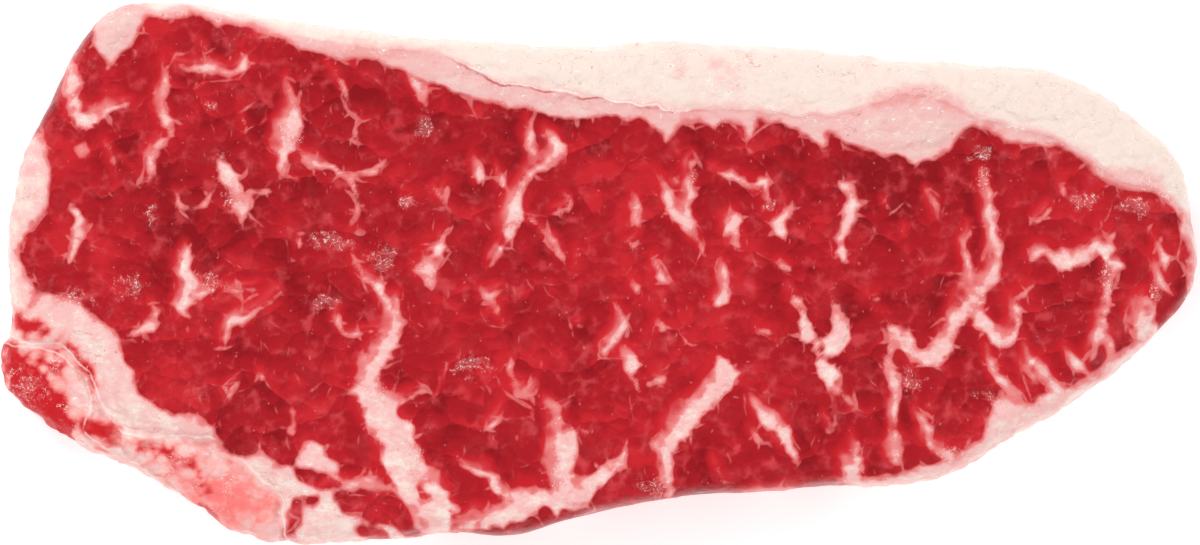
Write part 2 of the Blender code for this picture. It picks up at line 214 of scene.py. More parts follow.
CENTRE_SEAMS: tuple[Route, ...] = (
    ((-14, 10.5, 0.15), (-12, 8.8, 0.25), (-10, 7, 0.4)),
    ((15.5, 9.5, 0.3), (17.5, 6, 0.2), (19.2, 2.8, 0.15)),
    ((-17, -13.5, 0.2), (-16.5, -18, 0.3), (-15, -22, 0.5), (-12.5, -22.5, 0.4), (-10.5, -19, 0.2)),
    ((-28, 7.5, 0.6), (-29.5, 5, 1.3), (-31, 2, 1.4), (-31.5, -0.5, 1.2), (-30.5, -3, 0.4)),
    ((-12.5, 28, 0.4), (-12.5, 23.5, 0.8), (-11.5, 20, 0.5)),
    ((-9.5, 26, 0.5), (-7.5, 23, 1), (-8, 21, 0.9), (-10, 19.5, 1), (-12, 18.5, 0.7),
     (-13.5, 16.5, 0.6), (-15, 13, 1.1), (-16.5, 8.5, 1.4), (-17, 5.5, 0.5)),
    ((-17.5, 5, 0.4), (-19, 2, 0.6), (-19.5, 0.5, 0.3)),
    ((-18, 19, 0.5), (-17.5, 16, 0.9)),
    ((-22.5, 20, 0.4), (-22, 17.5, 0.9), (-22, 15.5, 0.4)),
    ((-29.5, 15, 0.6), (-28.5, 12.5, 0.3), (-27.5, 15.5, 0.5)),
    ((-35, 12.5, 0.9), (-34, 14, 0.4)),
    ((-21, -2.5, 0.4), (-20, -4, 0.8), (-17, -3, 0.4)),
    ((-19.5, -4.5, 0.4), (-18, -8.5, 0.9)),
    ((-10, 7, 0.4), (-8.5, 5, 0.8), (-6.5, 1.5, 0.4)),
    ((-8, 11, 0.6), (-5.5, 12, 0.4), (-6, 14, 0.3)),
    ((-3.5, 3.5, 0.7), (-4, 0.5, 0.7)),
    ((-4.5, -9.5, 0.3), (-3, -10, 0.6)),
    ((-16.5, -21.5, 0.4), (-15, -22, 0.6), (-13, -20, 0.3)),
    ((-21, -28.5, 0.5), (-18.5, -27, 0.5), (-17.5, -24.5, 0.3)),
    ((-2.5, -28.5, 0.7), (-4, -28, 0.3)),
    ((6.5, 14.5, 0.4), (7, 12.5, 0.6), (6.5, 10.5, 0.4), (8, 7, 0.2)),
    ((4, 6.5, 0.4), (6, 5, 0.4), (7.5, 6, 0.6)),
    ((11.5, 17, 0.4), (13, 13, 0.8), (14.5, 10.5, 0.9), (16, 9, 0.6)),
    ((17, 21, 0.6), (16, 17.5, 0.4), (17, 14.5, 0.8), (16, 10.5, 0.8), (18.5, 5, 0.3)),
    ((10, 2, 0.5), (11, -0.5, 0.7), (12, -2.5, 0.4)),
    ((6.5, -2.5, 0.6), (7, -4, 0.8)),
    ((11, -9.5, 0.8), (11, -10.5, 1.1)),
    ((20.5, 19, 0.3), (22.5, 18, 0.6), (25.5, 17, 0.6), (28, 16, 0.8), (30.5, 16.5, 0.6),
     (31, 13, 0.5), (31, 9.5, 0.3)),
    ((25, 10.5, 0.9), (24.5, 8.5, 1.6), (25, 6.5, 1.3), (25, 4.5, 0.5)),
    ((35, 13.5, 0.4), (35, 11, 0.7), (33, 8.5, 1.1), (34, 5.5, 0.4)),
    ((33, 1.5, 0.9), (35, 0.5, 0.7)),
    ((22.5, 2, 0.4), (23, -1, 0.6), (22.5, -4, 1), (21, -6, 0.9)),
)
LOWER_SEAMS: tuple[Route, ...] = (
    ((3.5, -6, 0.4), (4.5, -9.5, 0.8), (3, -12.5, 0.9), (0.5, -14.5, 1)),
    ((4.5, -14.5, 0.6), (6, -16.5, 1.4), (6, -19, 0.8), (7.5, -22, 0.6)),
    ((8, -20.5, 0.5), (12, -19.5, 0.4)),
    ((21.5, -15, 0.7), (22.5, -18.5, 1.7), (19.5, -22.5, 2), (16.5, -25.5, 2.3),
     (14.5, -28, 2.5), (12.5, -31, 1.7), (12, -34.5, 1.2), (12.5, -38.5, 1.2), (13, -41.5, 1)),
    ((27.5, -22.5, 0.5), (29.5, -25.5, 1.1), (32, -27.5, 1.7), (34, -31, 1.3),
     (36, -34.5, 0.6)),
    ((28, -29, 0.6), (29, -32, 0.3)),
    ((21, -34, 0.7), (22, -36.5, 0.4)),
    ((26.5, -40.5, 0.4), (29.5, -40.5, 0.6), (33, -40, 0.5), (36.5, -38.5, 0.3)),
    ((29, -10.5, 0.8), (32, -11.5, 0.5)),
    ((35, -3, 1), (36.5, -7.5, 1.3), (37.5, -11, 1.1), (39.5, -14.5, 1.5), (41, -18, 1.8),
     (43, -21, 1), (46, -23.5, 0.6)),
    ((42.5, -4.5, 0.8), (43.5, -8, 1), (43.5, -11.5, 1.4), (41, -15, 1.7)),
    ((44.5, -34.5, 1.2), (46, -37, 2), (47.5, -39, 1.5)),
    ((41, -26.5, 0.6), (42, -29, 0.4)),
    ((46.5, -30, 0.4), (46.5, -33, 0.7), (48, -36.5, 0.9)),
    ((49, -6, 0.7), (51.5, -5, 0.4)),
)
TAIL_SEAMS: tuple[Route, ...] = (
    ((43.5, 17, 0.4), (45.5, 14.5, 0.7), (46, 12.5, 0.8), (45, 8.5, 1), (44, 5.5, 1.3),
     (45, 2.5, 0.8), (47, 1, 0.3)),
    ((52, 12, 0.7), (52.5, 11, 0.5)),
    ((60, 14, 0.5), (61, 12, 0.8), (61.5, 9, 0.4)),
    ((56, 7.5, 0.7), (56, 5.5, 0.3)),
    ((67.5, 9, 0.4), (67, 5, 0.7), (68, 1, 0.5), (68, -2, 0.7)),
    ((51, -7.5, 0.6), (53.5, -10.5, 0.9), (56, -13, 1.5), (59.5, -14.5, 1.9),
     (62.5, -13, 1.8), (64.5, -9.5, 1.4), (66.5, -6, 1.5), (69.5, -3, 1.5), (72, 0, 0.9),
     (72.5, 4, 1.2), (71.5, 8, 0.7), (71, 13, 0.8), (70.5, 18, 0.5)),
    ((68.5, -6.5, 1.3), (70, -9, 1.3), (72, -11.5, 1.1), (74.5, -11.5, 1.1), (76, -9, 0.9),
     (76, -5, 0.6), (78.5, -2.5, 0.5)),
    ((56.5, -14, 1), (60, -16, 0.8), (63, -15.5, 1)),
    ((52.5, -11.5, 0.6), (53, -16, 1.1), (53.5, -19, 1.3), (54, -24, 0.6), (54, -30, 0.9),
     (53.5, -34, 1.4)),
    ((58, -25, 0.5), (60, -28.5, 0.8), (60, -31.5, 0.9), (64.5, -33.5, 0.9)),
    ((70.5, -14, 0.5), (72.5, -17.5, 0.8), (75, -21, 0.9), (78, -25, 0.8)),
    ((77.5, -12.5, 0.4), (79, -16, 0.7), (81, -18, 0.6), (83.5, -21.5, 0.9), (85, -24, 0.7)),
    ((77.5, -16.5, 0.4), (79.5, -20.5, 0.4)),
    ((85.5, -14, 0.6), (87.5, -17, 0.9), (89.5, -19.5, 0.8)),
    ((80, 9.5, 0.8), (81.5, 10.5, 0.5), (82.5, 11.5, 0.7)),
    ((84.5, 15.5, 0.4), (85, 14, 0.7)),
    ((79, 2.5, 0.8), (82, 3.5, 1.2), (84.5, 2, 1.3), (87, 1.5, 1.3), (89.5, 4, 1.2),
     (91.5, 4.5, 1.1), (93, 1.5, 1.2), (95.5, 0.5, 1)),
    ((92.5, 5.5, 0.5), (94, 7.5, 0.5)),
    ((93, -0.5, 0.9), (92.5, -5, 0.6), (92, -9, 1), (90.5, -14, 0.7), (89.5, -16, 0.5)),
    ((92.5, -11, 0.5), (93.5, -14, 0.4), (94.5, -17.5, 0.7)),
    ((99.5, -4, 0.7), (99, -8, 1.8), (100, -12, 2), (101, -14.5, 1.2)),
    ((101, 7.5, 0.4), (102.5, 5.5, 0.5), (103.5, 3, 1), (104, 0.5, 0.8)),
    ((102, 1.5, 0.6), (103, -2, 0.7), (105, -5, 0.4)),
)
ALL_SEAMS = THICK_END_SEAMS + RIVER_SEAMS + CENTRE_SEAMS + LOWER_SEAMS + TAIL_SEAMS

# Bits of lean inside the fat, given as the seams are.
LEAN_ISLANDS: tuple[Route, ...] = (
    ((-55, -36, 0.8), (-52, -37.3, 1.6), (-48, -38.3, 1)),
    ((-47, -41, 1.2), (-44, -42.5, 2.6), (-40, -42.5, 3), (-37, -44, 2.2), (-35, -47, 1.2)),
    ((-43.5, -47.5, 1), (-41, -48.5, 1.4)),
    ((-52, -41, 0.7), (-55, -42.5, 0.9), (-56, -46, 0.9), (-57.5, -47.5, 0.5)),
    ((-33, -39, 0.4), (-32.3, -40.5, 0.5)),
)

# Broad patches of the lean: x, y, reach, and how much brighter (or darker) it is there.
LEAN_PATCHES: Spots = (
    (-10, 25, 8, -0.8), (-25, 27, 7, -0.4), (52, 16, 9, -0.9), (38, 20, 6, -0.5),
    (55, -22, 5, -0.8), (-85, 28, 7, -0.4), (70, 20, 6, -0.7), (92, -4, 6, -0.4),
    (8, 2, 16, 0.6), (22, -12, 12, 0.5), (-98, 20, 6, 0.9), (-98, 6, 5, 0.8), (-80, 42, 6, 0.7),
    (-50, -25, 9, 0.4), (-28, -16, 10, 0.4), (-78, -16, 8, 0.5), (84, 12, 9, 0.5),
    (-64, 30, 8, -0.2), (-72, 12, 12, -0.4), (-56, 22, 8, -0.3), (99, 8, 5, 0.5),
    (-5, -34, 7, 0.4), (68, -26, 7, 0.3),
)

# Places where the wet surface is puckered, which get painted glint curls, a painted paler sheen and a clear
# coat: x, y and reach along both.
WET_GLINT_PATCHES: Spots = (
    (-71, 30.5, 1.6, 1), (-69.5, 21.5, 1.4, 1.2), (-57, 24, 2.4, 3.5), (-67, 15, 1.8, 3.5),
    (-86, -2.5, 3, 2.2), (-96, -5.5, 4, 2), (-71, -2, 3, 2), (-50, 5.5, 4.5, 1.6),
    (-50.5, -5.5, 3, 1.6), (-39.5, 2, 2.6, 3), (-35.5, 12.5, 1.8, 1.4), (-32, 26.5, 1.6, 2.6),
    (-24, -17, 3.6, 2.2), (-8, -38, 2.4, 2.5), (10, -39, 3, 2.6), (17, 17, 0.8, 2.4),
    (31, 12, 1, 1.6), (33.5, 1, 1.6, 0.8), (57, -20, 2.2, 2.6), (63, -33, 3.4, 1.2),
    (71.5, -22.5, 2.4, 1.6), (69.5, 22, 2.4, 1.8), (70, 18, 1.2, 2.4), (88.5, 13, 2.4, 1.6),
    (97.5, 11.5, 3.4, 2), (92, -2, 1.4, 3), (101, -4, 1.2, 3), (-104, -21, 2.4, 4),
    (-82, 10, 1.2, 2), (-34, -34, 2, 4), (-40, -22, 1.6, 3),
)

# Places where the cream fat turns pink, with small vessels: x, y and reach along both.
PINK_BLUSHES: Spots = (
    (23, 36.5, 6, 4.5), (14, 38, 3, 2.5), (57, 32.5, 9, 2.2), (-40, 40, 6, 1.5), (98, 18, 6, 2),
)


# ---------------------------------------------------------------------------
# Numbers over many points at once.
# ---------------------------------------------------------------------------

def smoothstep(low: float, high: float, value: np.ndarray) -> np.ndarray:
    """Eases from 0 to 1 as the value goes from low to high.

    Args:
        low: the value at which the result is still 0.
        high: the value from which the result is 1.
        value: the values to ease.

    Returns:
        An array of the same shape, between 0 and 1.
    """
    part = np.clip((value - low) / (high - low), 0.0, 1.0)
    return part * part * (3.0 - 2.0 * part)


def smooth_max(first: np.ndarray, second: np.ndarray, reach: float) -> np.ndarray:
    """The larger of two distances, rounded where they meet.

    Args:
        first: signed distances.
        second: signed distances of the same shape.
        reach: how far apart they may be and still be blended.

    Returns:
        The blended distances.
    """
    nearness = np.maximum(reach - np.abs(first - second), 0.0) / reach
    return np.maximum(first, second) + nearness * nearness * reach * 0.25


def hashed(cells: np.ndarray, seed: int) -> np.ndarray:
    """One repeatable random number for each lattice cell.

    Args:
        cells: whole numbers, one row for each cell.
        seed: picks another set of numbers.

    Returns:
        Numbers from 0 to 1, one for each row.
    """
    mixed = np.full(cells.shape[:-1], seed * 374761393 + 668265263, np.uint64)
    for axis, prime in zip(range(cells.shape[-1]), (73856093, 19349663, 83492791)):
        mixed ^= cells[..., axis].astype(np.int64).astype(np.uint64) * np.uint64(prime)
        mixed *= np.uint64(2654435761)
        mixed ^= mixed >> np.uint64(15)
    return (mixed & np.uint64(0xFFFFFF)).astype(float) / 0xFFFFFF


def soft_noise(points: np.ndarray, size: float, seed: int) -> np.ndarray:
    """Smooth noise over space.

    Args:
        points: places, one row of x, y and z for each.
        size: distance between the noise's knots, in the same unit.
        seed: picks another noise.

    Returns:
        One value from -1 to 1 for each point.
    """
    scaled = points / size
    low = np.floor(scaled)
    part = scaled - low
    fade = part * part * (3.0 - 2.0 * part)
    total = np.zeros(len(points))
    for corner in np.ndindex(2, 2, 2):
        offset = np.array(corner)
        weight = np.prod(np.where(offset == 1, fade, 1.0 - fade), axis=1)
        total += weight * hashed(low + offset, seed)
    return total * 2.0 - 1.0


def two_noises(
    points: np.ndarray, sizes: tuple[float, float], seed: int, share: float
) -> np.ndarray:
    """A coarse noise with a share of a fine one on it.

    Args:
        points: places, one row of x, y and z for each.
        sizes: the coarse noise's size and the fine one's.
        seed: picks the coarse noise; the fine one has the next seed.
        share: how much the fine noise counts.

    Returns:
        One value for each point.
    """
    return soft_noise(points, sizes[0], seed) + share * soft_noise(points, sizes[1], seed + 1)


def cell_noise(points: np.ndarray, size: float, seed: int) -> tuple[np.ndarray, np.ndarray]:
    """Distances to the nearest and the next nearest of scattered points in the plane.

    Args:
        points: places, one row of x and y (and more, unused) for each.
        size: mean distance between the scattered points.
        seed: picks another scatter.

    Returns:
        The nearest and the next nearest distance, as parts of the size.
    """
    scaled = points[:, :2] / size
    home = np.floor(scaled)
    first = np.full(len(points), 9.0)
    second = np.full(len(points), 9.0)
    for step_x in (-1, 0, 1):
        for step_y in (-1, 0, 1):
            cell = home + (step_x, step_y)
            spot = cell + np.column_stack((hashed(cell, seed), hashed(cell, seed + 1)))
            gap = np.hypot(*(scaled - spot).T)
            second = np.minimum(second, np.maximum(first, gap))
            first = np.minimum(first, gap)
    return first, second


def curve_through(route: Route, spacing: float) -> np.ndarray:
    """A smooth curve through the points of a route.

    Args:
        route: the points, with any further numbers, such as a half width, after x and y.
        spacing: distance between the curve's points.

    Returns:
        The curve's points, one row each.
    """
    knots = np.array(route, float)
    knots = np.vstack((2 * knots[0] - knots[1], knots, 2 * knots[-1] - knots[-2]))
    rows = []
    for before, start, end, after in zip(knots, knots[1:], knots[2:], knots[3:]):
        steps = max(2, math.ceil(np.hypot(*(end - start)[:2]) / spacing))
        part = np.linspace(0.0, 1.0, steps, endpoint=False)[:, None]
        rows.append(
            start
            + part * (end - before) / 2
            + part**2 * (2 * before - 5 * start + 4 * end - after) / 2
            + part**3 * (3 * start - before - 3 * end + after) / 2
        )
    return np.vstack(rows + [knots[-2:-1]])


def inside_ring(places: np.ndarray, ring: np.ndarray) -> np.ndarray:
    """Whether each point is inside a closed ring of points.

    Args:
        places: one row of x and y for each point.
        ring: the ring's corners.

    Returns:
        True for each point inside it.
    """
    inside = np.zeros(len(places), bool)
    x, y = places.T
    for (x_low, y_low), (x_high, y_high) in zip(ring, np.roll(ring, -1, axis=0)):
        if y_low == y_high:
            continue
        crosses = (y_low > y) != (y_high > y)
        inside ^= crosses & (x < x_low + (y - y_low) / (y_high - y_low) * (x_high - x_low))
    return inside


def region_depth(places: np.ndarray, route: Route, closing: Route) -> np.ndarray:
    """How deep each point is inside a region that a line cuts off from the meat.

    Args:
        places: one row of x and y for each point.
        route: the line's points, from one side of the meat to another.
        closing: far points that close the region, on from the line's end.

    Returns:
        Distances to the line in millimetres, above zero inside the region.
    """
    curve = curve_through(route, LINE_STEP)[:, :2]
    ring = np.vstack((curve, closing))
    starts, steps = curve[:-1], np.diff(curve, axis=0)
    lengths = (steps**2).sum(axis=1)
    result = np.empty(len(places))
    for first in range(0, len(places), BATCH):
        gap = places[first:first + BATCH, None, :] - starts
        part = np.clip((gap * steps).sum(axis=2) / lengths, 0.0, 1.0)
        away = gap - part[..., None] * steps
        distance = np.hypot(away[..., 0], away[..., 1])
        result[first:first + BATCH] = distance.min(axis=1)
    return np.where(inside_ring(places, ring), result, -result)


def seam_field(
    places: np.ndarray, seams: tuple[Route, ...], blend: float, taper: float = 0.0
) -> tuple[np.ndarray, np.ndarray]:
    """How deep each point is inside a set of seams, and how wide the nearest seam is.

    Args:
        places: one row of x and y for each point.
        seams: routes of x, y and half width.
        blend: how far seams that meet are rounded into each other.
        taper: how much thinner than its numbers a seam is at its very ends.

    Returns:
        Millimetres inside the nearest seam, below zero outside them all, and that seam's
        half width.
    """
    field = np.full(len(places), -SEAM_REACH)
    girth = np.zeros(len(places))
    for route in seams:
        discs = curve_through(route, SEAM_STEP)
        ends = np.minimum(np.arange(len(discs)), np.arange(len(discs))[::-1]) * SEAM_STEP
        discs[:, 2] -= taper * np.exp(-ends / TAPER_LENGTH)
        low = discs[:, :2].min(axis=0) - SEAM_REACH
        high = discs[:, :2].max(axis=0) + SEAM_REACH
        near = np.flatnonzero(((places > low) & (places < high)).all(axis=1))
        gap = places[near, None, :] - discs[:, :2]
        depths = discs[:, 2] - np.hypot(gap[..., 0], gap[..., 1])
        nearest = depths.argmax(axis=1)
        inside = depths.max(axis=1)
        girth[near] = np.where(inside > field[near], discs[nearest, 2], girth[near])
        field[near] = smooth_max(field[near], inside, blend)
    return field, girth


def spots(places: np.ndarray, rows: Spots) -> np.ndarray:
    """Soft spots, added up.

    Args:
        places: one row of x and y for each point.
        rows: x, y, reach along both, and how strong the spot is if not 1.

    Returns:
        One value for each point.
    """
    total = np.zeros(len(places))
    for x, y, across, along, *strength in rows:
        away = (places - (x, y)) / (across, along)
        total += (strength or [1.0])[0] * np.exp(-(away**2).sum(axis=1))
    return total


# ---------------------------------------------------------------------------
# The meat's map over the skin.
# ---------------------------------------------------------------------------

class Seed(IntEnum):
    """Which noise each effect draws from. The ripple and the wrinkles share one."""

    LOBES = 5
    BUNDLES = 9
    EDGE = 11
    DEPTH = 21
    RIPPLE = 31
    WRINKLES = 31
    WAVES = 41
    LUMPS = 51
    LIT = 61


# Each region is cut off by a line, and closed by far points on from the line's end.
REGIONS: dict[str, tuple[Route, Route]] = {
    "cap": (CAP_LINE, ((150, 90), (-96, 90))),
    "strip": (STRIP_LINE, ((-150, -10), (-150, 26))),
    "roll": (ROLL_LINE, ((-31, -90), (-150, -90), (-150, -8))),
    "hem": (HEM_LINE, ((150, -14), (150, -90), (40, -90))),
    "fascia": (FASCIA_LINE, ((150, -4), (150, 90), (-92, 90))),
    "fold": (FOLD_LINE, ((-56, -90), (-150, -90), (-150, -11))),
    "inner": (INNER_LINE, ((-72, -90), (-150, -90), (-150, -13))),
}

# The lowest and the highest value that a field keeps.
LIMITS: dict[str, tuple[float, float]] = {
    "fat": (-8.0, 12.0), "bulk": (-8.0, 20.0), "cap": (-8.0, 20.0), "fascia": (-8.0, 20.0),
    "fold": (-12.0, 20.0), "inner": (-12.0, 20.0), "redflap": (-8.0, 4.0), "blush": (0.0, 1.0),
}


@dataclass(frozen=True)
class MeatMap:
    """Where each kind of meat and fat lies, as fields over the skin.

    Every field is worked out for a point of the slice, and follows the seams down
    through its thickness, so that the under face is like the upper one but not its copy.
    """

    edge_wander: float = 0.55
    edge_size: float = 2.6
    depth_wander: float = 5.0
    depth_size: float = 12.0
    depth_ripple: float = 1.6
    ripple_size: float = 4.5
    seam_blend: float = 0.9
    seam_taper: float = 0.6
    bulk_blend: float = 1.5
    island_blend: float = 0.6
    bulk_lobes: float = 0.45
    # The painted glow beside the seams: how widely its seams blend and how far they are moved.
    glow_blend: float = 1.5
    glow_shift: tuple[float, float] = (0.7, -1.1)
    lit_size: float = 14.0
    salmon_place: tuple[float, float] = (-68.0, -41.5)
    salmon_reach: tuple[float, float] = (13.0, 7.5)

    def places(self, points: np.ndarray, height: float) -> np.ndarray:
        """Moves points a little, so that lines wander as real ones do.

        Args:
            points: x, y and z in millimetres.
            height: the slice's height.

        Returns:
            Rows of x and y in the map.
        """
        depth = np.clip(1.0 - points[:, 2] / height, 0.0, 1.0)
        moved = points[:, :2].copy()
        for axis in (0, 1):
            moved[:, axis] += self.edge_wander * soft_noise(points, self.edge_size, Seed.EDGE + axis)
            wide = soft_noise(points, self.depth_size, Seed.DEPTH + axis)
            moved[:, axis] += self.depth_wander * depth * wide
            ripple = soft_noise(points, self.ripple_size, Seed.RIPPLE + axis)
            moved[:, axis] += self.depth_ripple * np.minimum(2.5 * depth, 1.0) * ripple
        return moved

    def fields(self, points: np.ndarray, height: float) -> dict[str, np.ndarray]:
        """Works out every field of the map.

        Args:
            points: x, y and z in millimetres, z from the face the slice lies on.
            height: the slice's height.

        Returns:
            The fields by name, one number for each point.
        """
        places = self.places(points, height)
        level = points[:, 2] / height
        field = {name: region_depth(places, *region) for name, region in REGIONS.items()}
        strip, hem, roll = field.pop("strip"), field.pop("hem"), field.pop("roll")
        above = smooth_max(field["cap"], strip, self.bulk_blend)
        bulk = smooth_max(above, smooth_max(roll, hem, self.bulk_blend), self.bulk_blend)
        seams, girth = seam_field(places, ALL_SEAMS, self.seam_blend, self.seam_taper)
        islands, _ = seam_field(places, LEAN_ISLANDS, self.seam_blend)
        # The seams moved up and to the left, for the painted glow on that side of each seam.
        shifted_seams, _ = seam_field(
            places + self.glow_shift, ALL_SEAMS, self.glow_blend, self.seam_taper
        )
        lit = smoothstep(-0.9, 0.3, soft_noise(points, self.lit_size, Seed.LIT))
        on_seam = self.bulk_lobes + (1.0 - self.bulk_lobes) * smoothstep(0.2, 1.7, girth)
        fat = smooth_max(bulk, seams, self.seam_blend)
        field["fat"] = -smooth_max(-fat, islands, self.island_blend)
        field["bulk"] = bulk
        field["lobed"] = np.where(bulk > seams, self.bulk_lobes, on_seam)
        # Painted glow: brighter red on the lean on the upper-left side of each seam, in patches. The fat's
        # edge is blurred into it on that side.
        field["painted_glow"] = smoothstep(-2.2, 0.5, shifted_seams) * lit
        clear = smoothstep(0.6, 2.4, -bulk)
        field["soft"] = smoothstep(-0.2, 1.0, shifted_seams - seams) * lit * clear
        fading = 1.0 - 0.85 * smoothstep(8.0, 22.0, places[:, 0])
        field["gristle"] = smoothstep(-30.0, -22.0, places[:, 0]) * fading
        field["flap"] = smoothstep(-0.3, 1.6, field["fold"]) * smoothstep(-1.0, 1.0, roll)
        field["redflap"], _ = seam_field(places, FLAP_REDS, 1.0)
        field["salmon"] = spots(places, ((*self.salmon_place, *self.salmon_reach, 1.0),))
        wet = np.clip(spots(places, WET_GLINT_PATCHES), 0.0, 1.0)
        field["wet"] = wet * smoothstep(0.2, 1.0, level)
        field["top"] = smoothstep(0.6, 0.9, level)
        patches = tuple((x, y, reach, reach, much) for x, y, reach, much in LEAN_PATCHES)
        field["tone"] = spots(places, patches)
        field["blush"] = spots(places, PINK_BLUSHES)
        for name, (lowest, highest) in LIMITS.items():
            field[name] = np.clip(field[name], lowest, highest)
        return field


# ---------------------------------------------------------------------------
# The skin.
# ---------------------------------------------------------------------------

class Island(Enum):
    """The parts that the skin's colour layout is cut into."""

    UPPER = "upper face"
    SIDE = "side"
    UNDER = "under face"


@dataclass(frozen=True)
class BakeLayout:
    """Where each part of the skin lies in the square that holds its baked colours."""

    margin: float = 0.004
    upper_low: float = 0.54
    side_low: float = 0.33
    side_height: float = 0.098
    side_strips: int = 2
    under_scale: float = 0.68

    def flat(self, unit: np.ndarray, island: Island) -> np.ndarray:
        """Places points of the upper or under face.

        Args:
            unit: x and y as parts of the slice's length, from its lowest corner.
            island: which face they are on.

        Returns:
            Places in the square.
        """
        span = 1.0 - 2.0 * self.margin
        if island is Island.UPPER:
            return unit * span + (self.margin, self.upper_low)
        return unit * span * self.under_scale + (self.margin, self.margin)

    def side(self, along: np.ndarray, down: np.ndarray) -> np.ndarray:
        """Places points of the wall on strips, one above the other.

        Args:
            along: place round the wall, from 0 to 1, one row for each face.
            down: place down the wall, from 0 to 1, of the same shape.

        Returns:
            Places in the square, with one more axis.
        """
        strip = np.floor(along.mean(axis=1) * self.side_strips)[:, None]
        across = along * self.side_strips - strip
        low = self.side_low + strip * (self.side_height + self.margin)
        first = self.margin + across * (1.0 - 2.0 * self.margin)
        return np.stack((first, low + (1.0 - down) * self.side_height), axis=-1)


@dataclass
class SteakSkin:
    """The closed outer skin of the slice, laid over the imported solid.

    The upper face is a grid whose rim is a little inside the outline. From that rim,
    rows run over the shoulder, down the wall and round the foot, and halve in number
    twice on the way, to a coarser grid on the under face.
    """

    cells_along: int = 380
    cells_across: int = 184
    rim_inset: float = 4.5
    shoulder_share: float = 0.30
    ray_count: int = 2400
    ray_run: float = 0.27
    ray_away: float = 0.55
    ray_bend: float = 0.35
    rim_span: int = 5
    shoulder_rows: int = 10
    upper_rows: int = 6
    wall_rows: int = 12
    foot_rows: int = 3
    fan_rays: int = 48
    grid_rounds: int = 60
    smooth_rounds: int = 22
    corner_places: tuple[tuple[float, float], ...] = (
        (-92, -34), (80, -30), (96, 30), (-90, 48),
    )
    layout: BakeLayout = BakeLayout()
    meat: MeatMap = MeatMap()

    def __post_init__(self) -> None:
        """Reads the solid's box and prepares it for rays."""
        low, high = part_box(NODE)
        self.low = np.array(low) / MM
        self.high = np.array(high) / MM
        self.middle = (self.low + self.high) / 2.0
        self.scale = (self.high - self.low)[0] / MAP_LENGTH
        self.height = (self.high - self.low)[2]
        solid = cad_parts[NODE].data
        corners = [vertex.co / MM for vertex in solid.vertices]
        self.tree = BVHTree.FromPolygons(corners, [tuple(face.vertices) for face in solid.polygons])

    def ray(self, start: np.ndarray, way: np.ndarray) -> np.ndarray:
        """Where a ray meets the solid.

        Args:
            start: the ray's start in millimetres.
            way: its direction.

        Returns:
            The place it meets the solid, or its start where it misses.
        """
        hit = self.tree.ray_cast(Vector(start), Vector(way))[0]
        return np.array(hit) if hit is not None else np.array(start)

    def outline(self) -> np.ndarray:
        """Feels round the wall at mid height, from outside.

        Returns:
            A closed loop of x and y, anticlockwise.
        """
        reach = self.ray_run * MAP_LENGTH * self.scale
        away = self.ray_away * MAP_LENGTH * self.scale
        straight = 2.0 * reach
        bend = math.pi * away * self.ray_bend
        total = 2.0 * (straight + bend)
        loop = []
        for place in np.arange(self.ray_count) / self.ray_count * total:
            lap = place % (total / 2.0)
            turn = 0.0 if place < total / 2.0 else math.pi
            if lap < straight:
                centre, angle = -reach + lap, -math.pi / 2.0
            else:
                centre, angle = reach, -math.pi / 2.0 + (lap - straight) / bend * math.pi
            side = 1.0 if turn == 0.0 else -1.0
            way = np.array((math.cos(angle + turn), math.sin(angle + turn), 0.0))
            start = self.middle + (side * centre, 0.0, 0.0) + way * away
            loop.append(self.ray(start, -way)[:2])
        return np.array(loop)

    def columns(self) -> tuple[np.ndarray, np.ndarray]:
        """Spreads the wall's columns evenly on each of the four sides of the outline.

        Returns:
            The columns' places on the outline and their directions inward.
        """
        loop = self.outline()
        corners = []
        for place in self.corner_places:
            target = self.middle[:2] + np.array(place) * self.scale
            corners.append(int(np.hypot(*(loop - target).T).argmin()))
        sides = []
        cells = (self.cells_along, self.cells_across) * 2
        for start, end, count in zip(corners, corners[1:] + corners[:1], cells):
            span = (end - start) % len(loop)
            path = loop[(start + np.arange(span + 1)) % len(loop)]
            run = np.concatenate(([0.0], np.cumsum(np.hypot(*np.diff(path, axis=0).T))))
            even = np.linspace(0.0, run[-1], count, endpoint=False)
            sides.append(np.column_stack([np.interp(even, run, path[:, axis]) for axis in (0, 1)]))
        rim = np.vstack(sides)
        shifts = range(-self.rim_span, self.rim_span + 1)
        wide = sum(np.roll(rim, shift, axis=0) for shift in shifts) / len(shifts)
        along = np.roll(wide, -4, axis=0) - np.roll(wide, 4, axis=0)
        inward = np.column_stack((-along[:, 1], along[:, 0]))
        return rim, inward / np.hypot(*inward.T)[:, None]

    def wall(self, rim: np.ndarray, inward: np.ndarray) -> np.ndarray:
        """Lays the wall's rows on the solid, from the upper rim to the lower one.

        Args:
            rim: the columns' places on the outline.
            inward: the columns' directions inward.

        Returns:
            An array of rows, columns and x, y, z.
        """
        angles = np.linspace(math.pi / 2.0, -math.pi / 2.0, self.fan_rays)
        rows = self.shoulder_rows + self.wall_rows + self.foot_rows
        share = self.shoulder_share
        fine = np.linspace(0.0, share, self.shoulder_rows, endpoint=False)
        plain = np.linspace(share, 1.0, self.wall_rows + self.foot_rows + 1)
        parts = np.concatenate((fine, plain))
        result = np.empty((rows + 1, len(rim), 3))
        for column, (place, way) in enumerate(zip(rim, inward)):
            pivot = np.array((*(place + way * self.rim_inset * self.scale), self.height * 0.5))
            path = np.array([
                self.ray(pivot, (-way[0] * math.cos(a), -way[1] * math.cos(a), math.sin(a)))
                for a in angles
            ])
            steps = np.linalg.norm(np.diff(path, axis=0), axis=1)
            run = np.concatenate(([0.0], np.cumsum(steps)))
            for axis in range(3):
                result[:, column, axis] = np.interp(parts * run[-1], run, path[:, axis])
        return result

